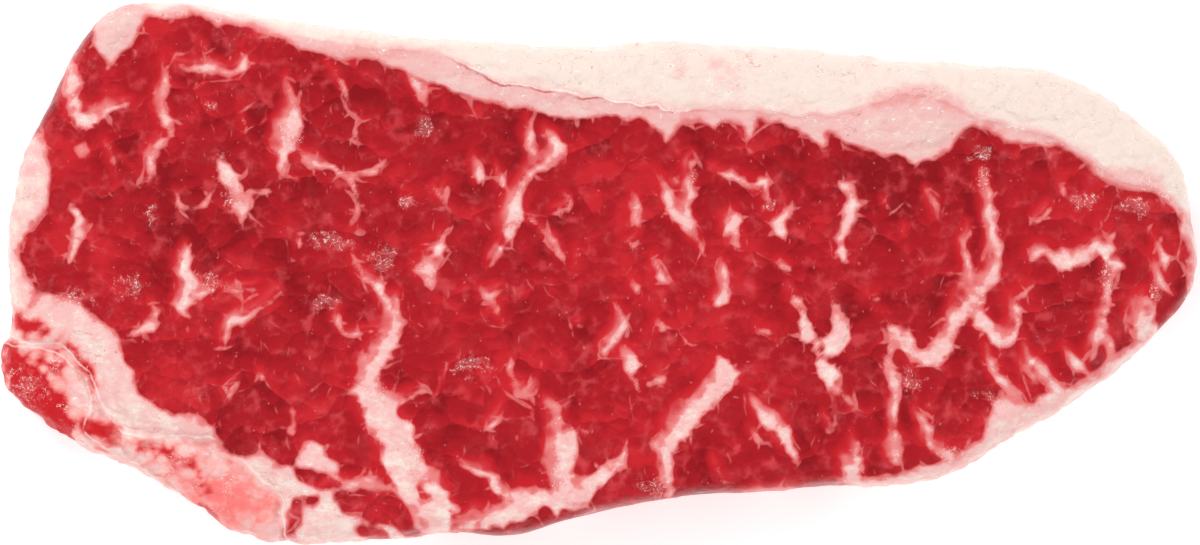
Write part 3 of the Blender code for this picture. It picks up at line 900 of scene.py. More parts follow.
    def face_grid(self, loop: np.ndarray, along: int, across: int, upper: bool) -> np.ndarray:
        """Fills a closed rim with an even grid laid on the solid.

        Args:
            loop: the rim's points, starting at the grid's first corner.
            along: cells along the slice.
            across: cells across it.
            upper: whether the grid lies on the upper face.

        Returns:
            An array of across + 1 rows by along + 1 columns by x, y, z.
        """
        closed = np.vstack((loop, loop[:1]))
        front = closed[:along + 1]
        right = closed[along:along + across + 1]
        back = closed[along + across:2 * along + across + 1][::-1]
        left = closed[2 * along + across:][::-1]
        u = np.linspace(0.0, 1.0, along + 1)[None, :, None]
        v = np.linspace(0.0, 1.0, across + 1)[:, None, None]
        grid = (1 - v) * front[None] + v * back[None] + (1 - u) * left[:, None] + u * right[:, None]
        grid = grid - (1 - u) * (1 - v) * front[0] - u * (1 - v) * front[-1]
        grid = grid - (1 - u) * v * back[0] - u * v * back[-1]
        for _ in range(self.grid_rounds):
            around = grid[:-2, 1:-1] + grid[2:, 1:-1] + grid[1:-1, :-2] + grid[1:-1, 2:]
            grid[1:-1, 1:-1] = around / 4.0
        way = np.array((0.0, 0.0, -1.0 if upper else 1.0))
        start = self.height * 2.0 if upper else -self.height
        for row in range(1, across):
            for column in range(1, along):
                x, y, _ = grid[row, column]
                grid[row, column] = self.ray(np.array((x, y, start)), way)
        return grid

    def build(self) -> bpy.types.Object:
        """Builds the skin, its relief and its fields.

        Returns:
            The skin's object, with no material yet.
        """
        rim, inward = self.columns()
        wall = self.wall(rim, inward)
        upper = self.face_grid(wall[0], self.cells_along, self.cells_across, True)
        turn = self.shoulder_rows + self.wall_rows
        under_rim = wall[-1][::4]
        under = self.face_grid(under_rim, self.cells_along // 4, self.cells_across // 4, False)
        parts = SkinParts(self)
        parts.add_upper(upper)
        parts.add_wall(wall, turn)
        parts.add_under(under)
        points = parts.smoothed(self.smooth_rounds)
        skin = parts.mesh("steak_skin", points)
        self.relieve(skin)
        return skin

    def local(self, points: np.ndarray) -> np.ndarray:
        """Turns places in the frame into places on the meat's map, in its millimetres."""
        moved = points - (self.middle[0], self.middle[1], self.low[2])
        return moved / self.scale

    def relieve(self, skin: bpy.types.Object) -> None:
        """Gives the skin its relief and writes the map's fields on it.

        Args:
            skin: the smooth skin.
        """
        mesh = skin.data
        count = len(mesh.vertices)
        points = np.empty(count * 3)
        mesh.vertices.foreach_get("co", points)
        points = points.reshape(-1, 3) / MM
        normals = np.empty(count * 3)
        mesh.vertex_normals.foreach_get("vector", normals)
        normals = normals.reshape(-1, 3)
        local = self.local(points)
        fields = self.meat.fields(local, self.height / self.scale)
        lift = Relief().height(local, normals, fields) * self.scale
        moved = points + normals * lift[:, None]
        moved[:, 2] = np.maximum(moved[:, 2], self.low[2])
        mesh.vertices.foreach_set("co", (moved * MM).ravel())
        mesh.update()
        for name, values in fields.items():
            layer = mesh.attributes.new(name, "FLOAT", "POINT")
            layer.data.foreach_set("value", values.astype(np.float32))


@dataclass(frozen=True)
class Relief:
    """The fine relief of the skin, in millimetres."""

    seam_rise: float = 0.20
    lobe_rise: float = 0.30
    lobe_size: float = 4.0
    wrinkle_rise: float = 0.18
    lean_wave: float = 0.16
    bundle_rise: float = 0.07
    bundle_size: float = 6.5
    gristle_rise: float = 0.03
    fold_drop: float = 0.20
    lip_rise: float = 0.26
    inner_rise: float = 0.12
    flap_lumps: float = 0.55
    wrinkle_sizes: tuple[float, float] = (1.7, 0.9)
    wave_sizes: tuple[float, float] = (7.0, 2.8)
    lump_sizes: tuple[float, float] = (3.6, 1.6)
    gristle_width: float = 0.8
    drop_length: float = 5.0
    lip_place: float = 1.5
    lip_width: float = 1.3
    inner_width: float = 0.7
    under_share: float = 0.3

    def height(
        self, local: np.ndarray, normals: np.ndarray, fields: dict[str, np.ndarray]
    ) -> np.ndarray:
        """How far each point is moved out along the skin's normal.

        Args:
            local: places on the map.
            normals: the skin's normals.
            fields: the map's fields.

        Returns:
            One height for each point.
        """
        fat = fields["fat"]
        lean = 1.0 - smoothstep(-0.5, 0.3, fat)
        outer = smoothstep(1.0, 3.0, fields["bulk"])
        first, second = cell_noise(local, self.lobe_size, Seed.LOBES)
        lobes = smoothstep(0.0, 0.35, second - first) - 0.6
        first, second = cell_noise(local, self.bundle_size, Seed.BUNDLES)
        bundles = smoothstep(0.0, 0.5, second - first) - 0.7
        along = local * (0.35, 1.0, 1.0)
        wrinkles = two_noises(along, self.wrinkle_sizes, Seed.WRINKLES, 0.5)
        waves = two_noises(local, self.wave_sizes, Seed.WAVES, 0.6)
        lift = self.seam_rise * smoothstep(-0.4, 0.7, fat)
        lift = lift + outer * (self.lobe_rise * lobes + self.wrinkle_rise * wrinkles)
        lift = lift + lean * (self.lean_wave * waves + self.bundle_rise * bundles)
        ridge = np.exp(-((fields["fascia"] / self.gristle_width) ** 2))
        lift = lift + self.gristle_rise * ridge * (fields["cap"] > 0.5)
        fold = fields["fold"]
        on_roll = smoothstep(0.0, 1.5, fields["bulk"])
        drop = smoothstep(-0.7, 0.7, fold) * np.exp(-np.maximum(fold, 0.0) / self.drop_length)
        lip = np.exp(-(((fold + self.lip_place) / self.lip_width) ** 2))
        lift = lift + on_roll * (self.lip_rise * lip - self.fold_drop * drop)
        inner = np.exp(-((fields["inner"] / self.inner_width) ** 2)) * fields["flap"]
        lift = lift + self.inner_rise * inner
        lumps = two_noises(local, self.lump_sizes, Seed.LUMPS, 0.5)
        lift = lift + self.flap_lumps * fields["flap"] * lumps
        under = smoothstep(-0.2, -0.8, normals[:, 2])
        return lift * (1.0 - (1.0 - self.under_share) * under)


class SkinParts:
    """Gathers the skin's points, faces and colour layout."""

    def __init__(self, skin: SteakSkin) -> None:
        """Starts with nothing.

        Args:
            skin: the skin that the parts are for.
        """
        self.skin = skin
        self.points: list[np.ndarray] = []
        self.faces: list[list[int]] = []
        self.places: list[np.ndarray] = []
        self.count = 0
        self.last_ring = np.zeros(0, int)
        self.last_down = 0.0

    def add_points(self, points: np.ndarray) -> np.ndarray:
        """Adds points.

        Args:
            points: their places, x, y and z last.

        Returns:
            Their numbers.
        """
        first = self.count
        self.points.append(points.reshape(-1, 3))
        self.count += len(points.reshape(-1, 3))
        return first + np.arange(self.count - first)

    def add_faces(self, faces: np.ndarray, places: np.ndarray) -> None:
        """Adds faces of one kind.

        Args:
            faces: numbers of each face's points.
            places: a place in the colour layout for each corner of each face.
        """
        self.faces.extend(faces.tolist())
        self.places.append(places.reshape(-1, 2))

    def flat_places(self, faces: np.ndarray, island: Island) -> np.ndarray:
        """Colour layout of faces that are looked at from above or below.

        Args:
            faces: numbers of each face's points.
            island: which face of the slice they are on.

        Returns:
            A place for each corner of each face.
        """
        points = np.vstack(self.points)[faces][..., :2]
        unit = (points - self.skin.low[:2]) / (self.skin.high - self.skin.low)[0]
        return self.skin.layout.flat(unit, island)

    @staticmethod
    def grid_faces(numbers: np.ndarray) -> np.ndarray:
        """Faces of a grid of points, anticlockwise from above."""
        corners = (numbers[:-1, :-1], numbers[:-1, 1:], numbers[1:, 1:], numbers[1:, :-1])
        return np.stack([corner.ravel() for corner in corners], axis=1)

    @staticmethod
    def rim_of(numbers: np.ndarray) -> np.ndarray:
        """The numbers round a grid's rim, from its first corner, anticlockwise."""
        return np.concatenate(
            (numbers[0, :-1], numbers[:-1, -1], numbers[-1, :0:-1], numbers[:0:-1, 0])
        )

    def add_upper(self, grid: np.ndarray) -> None:
        """Adds the upper face.

        Args:
            grid: its points by row and column.
        """
        numbers = self.add_points(grid).reshape(grid.shape[:2])
        faces = self.grid_faces(numbers)
        self.add_faces(faces, self.flat_places(faces, Island.UPPER))
        self.last_ring = self.rim_of(numbers)

    def add_wall(self, wall: np.ndarray, turn: int) -> None:
        """Adds the rows from the upper rim down to the lower one.

        Args:
            wall: points by row and column, the first row being the upper face's rim.
            turn: the row from which there are a quarter as many columns.
        """
        skin = self.skin
        rows = len(wall) - 1
        for row in range(1, rows):
            step = 1 if row <= skin.shoulder_rows else (2 if row <= turn else 4)
            below = self.add_points(wall[row][::step])
            island = Island.UPPER if row <= skin.upper_rows else Island.SIDE
            self.join_rings(self.last_ring, below, (row - 1) / rows, row / rows, island)
            self.last_ring = below
            self.last_down = row / rows

    def join_rings(
        self, above: np.ndarray, below: np.ndarray, high: float, low: float, island: Island
    ) -> None:
        """Joins two rings of points, the lower of which may have half as many.

        Args:
            above: numbers of the upper ring.
            below: numbers of the lower ring.
            high: the upper ring's place down the wall.
            low: the lower ring's place down the wall.
            island: the part of the colour layout that the faces go to.
        """
        count = len(below)
        index = np.arange(count)
        after = index + 1
        if len(above) == count:
            faces = np.stack((above, below, below[after % count], above[after % count]), axis=1)
            along = np.stack((index, index, after, after), axis=1) / count
            down = np.tile((high, low, low, high), (count, 1))
            self.add_ring_faces(faces, along, down, island)
            return
        double = index * 2
        left, mid, right = above[double], above[double + 1], above[(double + 2) % len(above)]
        low_left, low_right = below, below[after % count]
        for faces, along, down in (
            ((left, low_left, mid), (index, index, index + 0.5), (high, low, high)),
            ((mid, low_left, low_right), (index + 0.5, index, after), (high, low, low)),
            ((mid, low_right, right), (index + 0.5, after, after), (high, low, high)),
        ):
            self.add_ring_faces(
                np.stack(faces, axis=1), np.stack(along, axis=1) / count,
                np.tile(down, (count, 1)), island,
            )

    def add_ring_faces(
        self, faces: np.ndarray, along: np.ndarray, down: np.ndarray, island: Island
    ) -> None:
        """Adds faces of the wall.

        Args:
            faces: numbers of each face's points.
            along: each corner's place round the wall, from 0 to 1.
            down: each corner's place down the wall, from 0 to 1.
            island: the part of the colour layout that they go to.
        """
        if island is Island.UPPER:
            self.add_faces(faces, self.flat_places(faces, island))
        else:
            self.add_faces(faces, self.skin.layout.side(along, down))

    def add_under(self, grid: np.ndarray) -> None:
        """Adds the under face and joins it to the wall's last ring.

        Args:
            grid: its points by row and column.
        """
        numbers = self.add_points(grid).reshape(grid.shape[:2])
        self.join_rings(self.last_ring, self.rim_of(numbers), self.last_down, 1.0, Island.SIDE)
        faces = self.grid_faces(numbers)[:, ::-1]
        self.add_faces(faces, self.flat_places(faces, Island.UNDER))

    def smoothed(self, rounds: int) -> np.ndarray:
        """Evens out the facets of the solid.

        Args:
            rounds: how many times each point moves half way to its neighbours' mean.

        Returns:
            The moved points.
        """
        points = np.vstack(self.points)
        edges = []
        for size in (3, 4):
            ring = np.array([face for face in self.faces if len(face) == size])
            if len(ring):
                edges.append(np.stack((ring, np.roll(ring, -1, axis=1)), axis=-1).reshape(-1, 2))
        pairs = np.unique(np.sort(np.vstack(edges), axis=1), axis=0)
        ends = np.concatenate((pairs[:, 0], pairs[:, 1]))
        others = np.concatenate((pairs[:, 1], pairs[:, 0]))
        degree = np.bincount(ends, minlength=len(points))[:, None]
        for _ in range(rounds):
            total = np.stack(
                [np.bincount(ends, points[others, axis], len(points)) for axis in range(3)], axis=1
            )
            points = (points + total / degree) / 2.0
        return points

    def mesh(self, name: str, points: np.ndarray) -> bpy.types.Object:
        """Makes the skin's object.

        Args:
            name: its name.
            points: the points to use, in millimetres.

        Returns:
            The object, smooth shaded, with its colour layout.
        """
        mesh = bpy.data.meshes.new(name)
        mesh.from_pydata((points * MM).tolist(), [], self.faces)
        layer = mesh.uv_layers.new(name="OFBake")
        layer.data.foreach_set("uv", np.vstack(self.places).astype(np.float32).ravel())
        mesh.polygons.foreach_set("use_smooth", [True] * len(mesh.polygons))
        mesh.update()
        skin = bpy.data.objects.new(name, mesh)
        bpy.context.scene.collection.objects.link(skin)
        return skin


# ---------------------------------------------------------------------------
# The finish.
# ---------------------------------------------------------------------------

def linear(red: float, green: float, blue: float) -> Colour:
    """A screen colour, 0 to 255, as the linear colour that a shader takes.

    Args:
        red: red part.
        green: green part.
        blue: blue part.

    Returns:
        Red, green, blue and alpha.
    """
    parts = []
    for part in (red / 255.0, green / 255.0, blue / 255.0):
        parts.append(part / 12.92 if part <= 0.04045 else ((part + 0.055) / 1.055) ** 2.4)
    return (*parts, 1.0)


class Signal:
    """A value in a shader graph, for plain arithmetic."""

    def __init__(self, graph: Graph, socket: bpy.types.NodeSocket) -> None:
        """Keeps the graph and the socket that gives the value."""
        self.graph = graph
        self.socket = socket

    def __add__(self, other: Value) -> Signal:
        """The sum."""
        return self.graph.math("ADD", self, other)

    def __sub__(self, other: Value) -> Signal:
        """The difference."""
        return self.graph.math("SUBTRACT", self, other)

    def __mul__(self, other: Value) -> Signal:
        """The product."""
        return self.graph.math("MULTIPLY", self, other)

    def __truediv__(self, other: Value) -> Signal:
        """The quotient."""
        return self.graph.math("DIVIDE", self, other)

    def __rtruediv__(self, other: float) -> Signal:
        """A number divided by the value."""
        return self.graph.math("DIVIDE", other, self)

    def __abs__(self) -> Signal:
        """The value without its sign."""
        return self.graph.math("ABSOLUTE", self)

    def ease(self, low: float, high: float, start: float = 0.0, end: float = 1.0) -> Signal:
        """Goes smoothly from start to end as the value goes from low to high."""
        inputs = {0: self, 1: low, 2: high, 3: start, 4: end}
        return self.graph.take(0, "MapRange", inputs, interpolation_type="SMOOTHSTEP")


class Graph:
    """Short calls that add and join shader nodes in one tree."""

    def __init__(self, tree: bpy.types.NodeTree) -> None:
        """Keeps the tree to work in."""
        self.tree = tree

    def put(self, socket: bpy.types.NodeSocket, value: Value) -> None:
        """Links or sets a socket.

        Args:
            socket: the input to fill.
            value: a signal, or a plain value.
        """
        if isinstance(value, Signal):
            self.tree.links.new(value.socket, socket)
        else:
            socket.default_value = value

    def add(self, kind: str, inputs: Inputs, **settings: object) -> bpy.types.Node:
        """Adds a node.

        Args:
            kind: its type, without the leading ShaderNode.
            inputs: values or signals by input name or number.
            **settings: its properties.

        Returns:
            The node.
        """
        node = self.tree.nodes.new("ShaderNode" + kind)
        for name, value in settings.items():
            setattr(node, name, value)
        for name, value in inputs.items():
            self.put(node.inputs[name], value)
        return node

    def take(self, output: int | str, kind: str, inputs: Inputs, **settings: object) -> Signal:
        """Adds a node and takes one of its outputs."""
        return Signal(self, self.add(kind, inputs, **settings).outputs[output])

    def math(self, operation: str, first: Value, second: Value = 0.0) -> Signal:
        """The result of a Math node."""
        return self.take(0, "Math", {0: first, 1: second}, operation=operation)

    def larger(self, first: Value, second: Value) -> Signal:
        """The larger of two values."""
        return self.math("MAXIMUM", first, second)

    def vector(self, operation: str, first: Value, second: Value) -> Signal:
        """The result of a Vector Math node."""
        return self.take(0, "VectorMath", {0: first, 1: second}, operation=operation)

    def blend(self, amount: Value, first: Value, second: Value) -> Signal:
        """A colour between two others."""
        return self.take(2, "Mix", {0: amount, 6: first, 7: second}, data_type="RGBA")

    def field(self, name: str) -> Signal:
        """One of the map's fields on the skin."""
        return self.take("Fac", "Attribute", {}, attribute_name=name)

    def place(self, stretch: tuple[float, float, float] = (1.0, 1.0, 1.0)) -> Signal:
        """The place on the object in millimetres, times a factor for each axis."""
        spot = self.take("Object", "TexCoord", {})
        return self.vector("MULTIPLY", spot, tuple(part / MM for part in stretch))

    def noise(self, place: Value, size: Value, detail: float = 2.0, rough: float = 0.5) -> Signal:
        """Noise from 0 to 1 whose features are about size millimetres across."""
        inputs = {"Vector": place, "Scale": 1.0 / size, "Detail": detail, "Roughness": rough}
        return self.take("Fac", "TexNoise", inputs)

    def sway(self, place: Value, size: Value, detail: float = 2.0, rough: float = 0.5) -> Signal:
        """Noise about zero."""
        return self.noise(place, size, detail, rough) - 0.5

    def warped(self, place: Value, size: float, reach: float) -> Signal:
        """Makes a place wander.

        Args:
            place: the place.
            size: how far apart its turns are, in millimetres.
            reach: about how far it wanders, in millimetres.

        Returns:
            The moved place.
        """
        inputs = {"Vector": place, "Scale": 1.0 / size, "Detail": 1.0, "Roughness": 0.5}
        drift = self.vector("SUBTRACT", self.take("Color", "TexNoise", inputs), (0.5, 0.5, 0.5))
        return self.vector("ADD", place, self.vector("MULTIPLY", drift, (2.0 * reach,) * 3))

    def cells(self, place: Value, size: Value, feature: str = "F1") -> bpy.types.Node:
        """Cells in the plane, about size millimetres across."""
        inputs = {"Vector": place, "Scale": 1.0 / size}
        return self.add("TexVoronoi", inputs, feature=feature, voronoi_dimensions="2D")

    def split(self, colour: bpy.types.NodeSocket) -> tuple[Signal, Signal]:
        """The first two parts of a colour."""
        parts = self.add("SeparateColor", {0: Signal(self, colour)}).outputs
        return Signal(self, parts[0]), Signal(self, parts[1])


class Group:
    """A shader node group, made once and placed wherever it is wanted."""

    name = ""
    inputs: dict[str, float] = {}
    outputs: tuple[str, ...] = ()

    def __init__(self) -> None:
        """Makes the group with its named sockets and fills it."""
        self.tree = bpy.data.node_groups.new(self.name, "ShaderNodeTree")
        for label, value in self.inputs.items():
            self.socket(label, "INPUT").default_value = value
        for label in self.outputs:
            self.socket(label, "OUTPUT")
        graph = Graph(self.tree)
        given = self.tree.nodes.new("NodeGroupInput")
        result = self.tree.nodes.new("NodeGroupOutput")
        values = {label: Signal(graph, given.outputs[label]) for label in self.inputs}
        for label, value in self.fill(graph, values).items():
            graph.put(result.inputs[label], value)

    def socket(self, label: str, side: str) -> bpy.types.NodeTreeInterfaceSocket:
        """Adds a named value socket on one side of the group."""
        return self.tree.interface.new_socket(label, in_out=side, socket_type="NodeSocketFloat")

    def fill(self, graph: Graph, given: Signals) -> Signals:
        """Makes what is inside.

        Args:
            graph: the group's graph.
            given: its inputs by name.

        Returns:
            Its outputs by name.
        """
        raise NotImplementedError

    def place(self, graph: Graph, **inputs: float) -> Signals:
        """Puts the group into a material.

        Args:
            graph: the material's graph.
            **inputs: the group's inputs by name.

        Returns:
            Its outputs by name.
        """
        node = graph.add("Group", {}, node_tree=self.tree)
        for label, value in inputs.items():
            graph.put(node.inputs[label], value)
        return {label: Signal(graph, node.outputs[label]) for label in self.outputs}


class MarblingWeb(Group):
    """Bundles of fibre, and the fat that gathers where three of them meet.

    Web is millimetres inside the gathered fat, Wall is the distance to the nearest
    bundle's edge, Near is the distance to its middle as a part of its size, Tone is one
    random number for each bundle, and Drop is how far below its middle the point is.
    """

    name = "Marbling web"
    inputs = {"Size": 6.0, "Cut": 0.8, "Shift": 0.0}
    outputs = ("Web", "Wall", "Near", "Tone", "Drop")
    warps = ((13.0, 3.4), (2.8, 0.75))

    def fill(self, graph: Graph, given: Signals) -> Signals:
        """Makes what is inside.

        Args:
            graph: the group's graph.
            given: its inputs by name.

        Returns:
            Its outputs by name.
        """
        offset = graph.take(0, "CombineXYZ", {0: given["Shift"]})
        place = graph.vector("ADD", graph.place((1.0, 1.0, 0.45)), offset)
        for size, reach in self.warps:
            place = graph.warped(place, size, reach)
        edge = graph.cells(place, given["Size"], "DISTANCE_TO_EDGE")
        bundle = graph.cells(place, given["Size"])
        near = Signal(graph, bundle.outputs["Distance"])
        holds = graph.sway(place, 4.5, 1.0) * 1.5
        middle = Signal(graph, bundle.outputs["Position"])
        drop = graph.vector("SUBTRACT", middle, place)
        return {
            "Web": (near + holds - given["Cut"]) * given["Size"],
            "Wall": Signal(graph, edge.outputs["Distance"]) * given["Size"],
            "Near": near,
            "Tone": graph.split(bundle.outputs["Color"])[0],
            "Drop": graph.take(1, "SeparateXYZ", {0: drop}),
        }


class Flecks(Group):
    """Small separate flecks, longer one way than the other. Fleck is 1 inside a fleck."""

    name = "Fat flecks"
    inputs = {"Size": 2.0, "Stretch": 0.4, "Share": 0.3, "Width": 0.2, "Shift": 0.0}
    outputs = ("Fleck",)

    def fill(self, graph: Graph, given: Signals) -> Signals:
        """Makes what is inside.

        Args:
            graph: the group's graph.
            given: its inputs by name.

        Returns:
            Its outputs by name.
        """
        offset = graph.take(0, "CombineXYZ", {0: given["Shift"]})
        place = graph.vector("ADD", graph.place((1.0, 1.0, 0.4)), offset)
        factors = graph.take(0, "CombineXYZ", {0: 1.0, 1: given["Stretch"], 2: 1.0})
        place = graph.vector("MULTIPLY", graph.warped(place, 4.0, 1.6), factors)
        cell = graph.cells(place, given["Size"])
        pick, chance = graph.split(cell.outputs["Color"])
        kept = graph.math("LESS_THAN", pick, given["Share"])
        width = given["Width"] * (chance * 0.9 + 0.55)
        inside = width - Signal(graph, cell.outputs["Distance"])
        return {"Fleck": kept * inside.ease(-0.03, 0.10)}


class PaintedGlintCurls(Group):
    """Painted highlights: thin bright curls, the glints of a puckered wet surface. The output is 1 on a
    curl.
    """

    name = "Painted glint curls"
    inputs = {"Size": 1.0, "Width": 0.03, "Gaps": 0.5}
    outputs = ("GlintCurl",)

    def fill(self, graph: Graph, given: Signals) -> Signals:
        """Makes what is inside.

        Args:
            graph: the group's graph.
            given: its inputs by name.

        Returns:
            Its outputs by name.
        """
        place = graph.place()
        ripple = graph.sway(graph.warped(place, 1.7, 0.8), given["Size"], 0.0)
        breaks = graph.noise(place, given["Size"] / 1.3, 1.0)
        line = (abs(ripple) / given["Width"]).ease(0.3, 1.0, 1.0, 0.0)
        return {"GlintCurl": line * (breaks - given["Gaps"]).ease(-0.03, 0.05)}


@dataclass(frozen=True)
class BeefTones:
    """The colours of raw beef, and of the light and shade painted on it."""

    lean_dark: Colour = linear(144, 10, 22)
    lean_mid: Colour = linear(173, 20, 31)
    lean_bright: Colour = linear(204, 34, 44)
    # Bright red of the painted glow beside the seams.
    painted_glow_red: Colour = linear(214, 32, 43)
    # Pink of the lean's veils and fine borders, and of the painted glow's core.
    veil_and_glow_pink: Colour = linear(226, 80, 86)
    # Pink of the fat's edges and the lean's small flecks, and of the painted sheen in the wet patches.
    edge_and_sheen_pink: Colour = linear(236, 122, 122)
    fat_red: Colour = linear(238, 138, 136)
    fat_cream: Colour = linear(250, 229, 218)
    fat_pink: Colour = linear(248, 190, 187)
    film_pink: Colour = linear(240, 186, 182)
    # White of the painted highlights and glints, and of the membrane lines, which are partly white
    # themselves.
    glint: Colour = linear(255, 248, 243)
    blood: Colour = linear(176, 46, 48)
    # Red of small vessels, and of the painted shadow beside the membrane lines.
    vessel_and_shadow_red: Colour = linear(206, 96, 90)
    # Darker beige of the painted shade in the creases between the fat's lobules.
    crease_shade: Colour = linear(240, 196, 186)
    # Darker tan of the painted shade beside the painted highlights on the fat's ridges.
    groove_shade: Colour = linear(226, 190, 174)
    salmon: Colour = linear(254, 128, 125)
    flap_red: Colour = linear(208, 26, 37)


@dataclass(frozen=True)
class Layer:
    """One layer of noise: its size in millimetres, its make-up and how much it counts."""

    size: float
    detail: float
    rough: float
    share: float = 1.0

    def over(self, graph: Graph, place: Signal) -> Signal:
        """The layer's value about zero."""
        return graph.sway(place, self.size, self.detail, self.rough) * self.share


@dataclass(frozen=True)
class Hairline:
    """A thin white line along a membrane, partly its own white and partly a painted highlight, with a thin
    red line beside it, partly red tissue and partly painted shadow.
    """

    white: float
    red: float
    red_width: float
    white_width: float = 0.26
    wander: float = 0.8

    def draw(self, graph: Graph, colour: Signal, away: Signal, inside: Signal, tones: BeefTones) -> Signal:
        """Draws the line.

        Args:
            graph: the material's graph.
            colour: the colour so far.
            away: millimetres from the line, above zero on one side.
            inside: where the line shows, 0 to 1.
            tones: the meat's colours.

        Returns:
            The colour with the line.
        """
        place = graph.place()
        broken = graph.noise(place, 3.6, 2.0)
        away = away + graph.sway(place, 1.8, 2.0) * self.wander
        # The white line is partly the membrane's own white and partly a painted highlight; the red line
        # beside it is partly red tissue and partly painted shadow.
        white = abs(away).ease(0.02, self.white_width, self.white, 0.0)
        white = white * broken.ease(0.40, 0.56, 0.2, 1.0)
        beside = abs(away + (0.1 + self.red_width))
        red = beside.ease(0.04, 0.04 + self.red_width, self.red, 0.0)
        red = red * broken.ease(0.42, 0.60, 1.0, 0.15)
        colour = graph.blend(red * inside, colour, tones.vessel_and_shadow_red)
        return graph.blend(white * inside, colour, tones.glint)


@dataclass(frozen=True)
class LeanLook:
    """Colour of the red muscle, with its bundles, fibres and patches, and painted shade across each bundle.
    """

    middle: float = 0.50
    patch_share: float = 0.46
    # step_share and small_step_share set the painted shade across the large and the small bundles.
    step_share: float = 0.10
    bundle_share: float = 0.27
    small_step_share: float = 0.08
    veil: float = 0.38
    rim: float = 0.42
    layers: tuple[Layer, ...] = (
        Layer(12.0, 2.0, 0.5, 1.9), Layer(4.2, 3.0, 0.55, 1.1), Layer(0.9, 2.0, 0.6, 0.15),
    )
    fibre: Layer = Layer(1.0, 2.0, 0.6, 0.18)
    fibre_stretch: tuple[float, float, float] = (1.5, 0.25, 0.5)

    def colour(self, graph: Graph, coarse: Signals, fine: Signals, tones: BeefTones) -> Signal:
        """Works out the lean's colour.

        Args:
            graph: the material's graph.
            coarse: the large bundles.
            fine: the small bundles.
            tones: the meat's colours.

        Returns:
            The colour.
        """
        place = graph.place((1.0, 1.0, 0.5))
        # Painted shade: each bundle is painted lighter below its middle and darker above it, with a step at
        # its edge, as on overlapping scales.
        steps = coarse["Drop"] * self.step_share + (coarse["Tone"] - 0.5) * self.bundle_share
        overlap = graph.noise(place, 8.0, 1.0).ease(0.40, 0.62, 0.15, 1.0)
        tone = graph.field("tone") * self.patch_share + self.middle + steps * overlap
        for layer in self.layers:
            tone = tone + layer.over(graph, place)
        tone = tone + self.fibre.over(graph, graph.place(self.fibre_stretch))
        # The same painted shade across the small bundles.
        tone = tone + fine["Drop"] * self.small_step_share
        darker = graph.blend(tone.ease(0.0, 0.5), tones.lean_dark, tones.lean_mid)
        colour = graph.blend(tone.ease(0.5, 1.1), darker, tones.lean_bright)
        cover = graph.noise(place, 3.4, 3.0, 0.6)
        colour = graph.blend(cover.ease(0.54, 0.76, 0.0, self.veil), colour, tones.veil_and_glow_pink)
        rim = fine["Near"].ease(0.42, 0.85, 0.0, self.rim) * cover.ease(0.44, 0.60)
        return graph.blend(rim, colour, tones.veil_and_glow_pink)


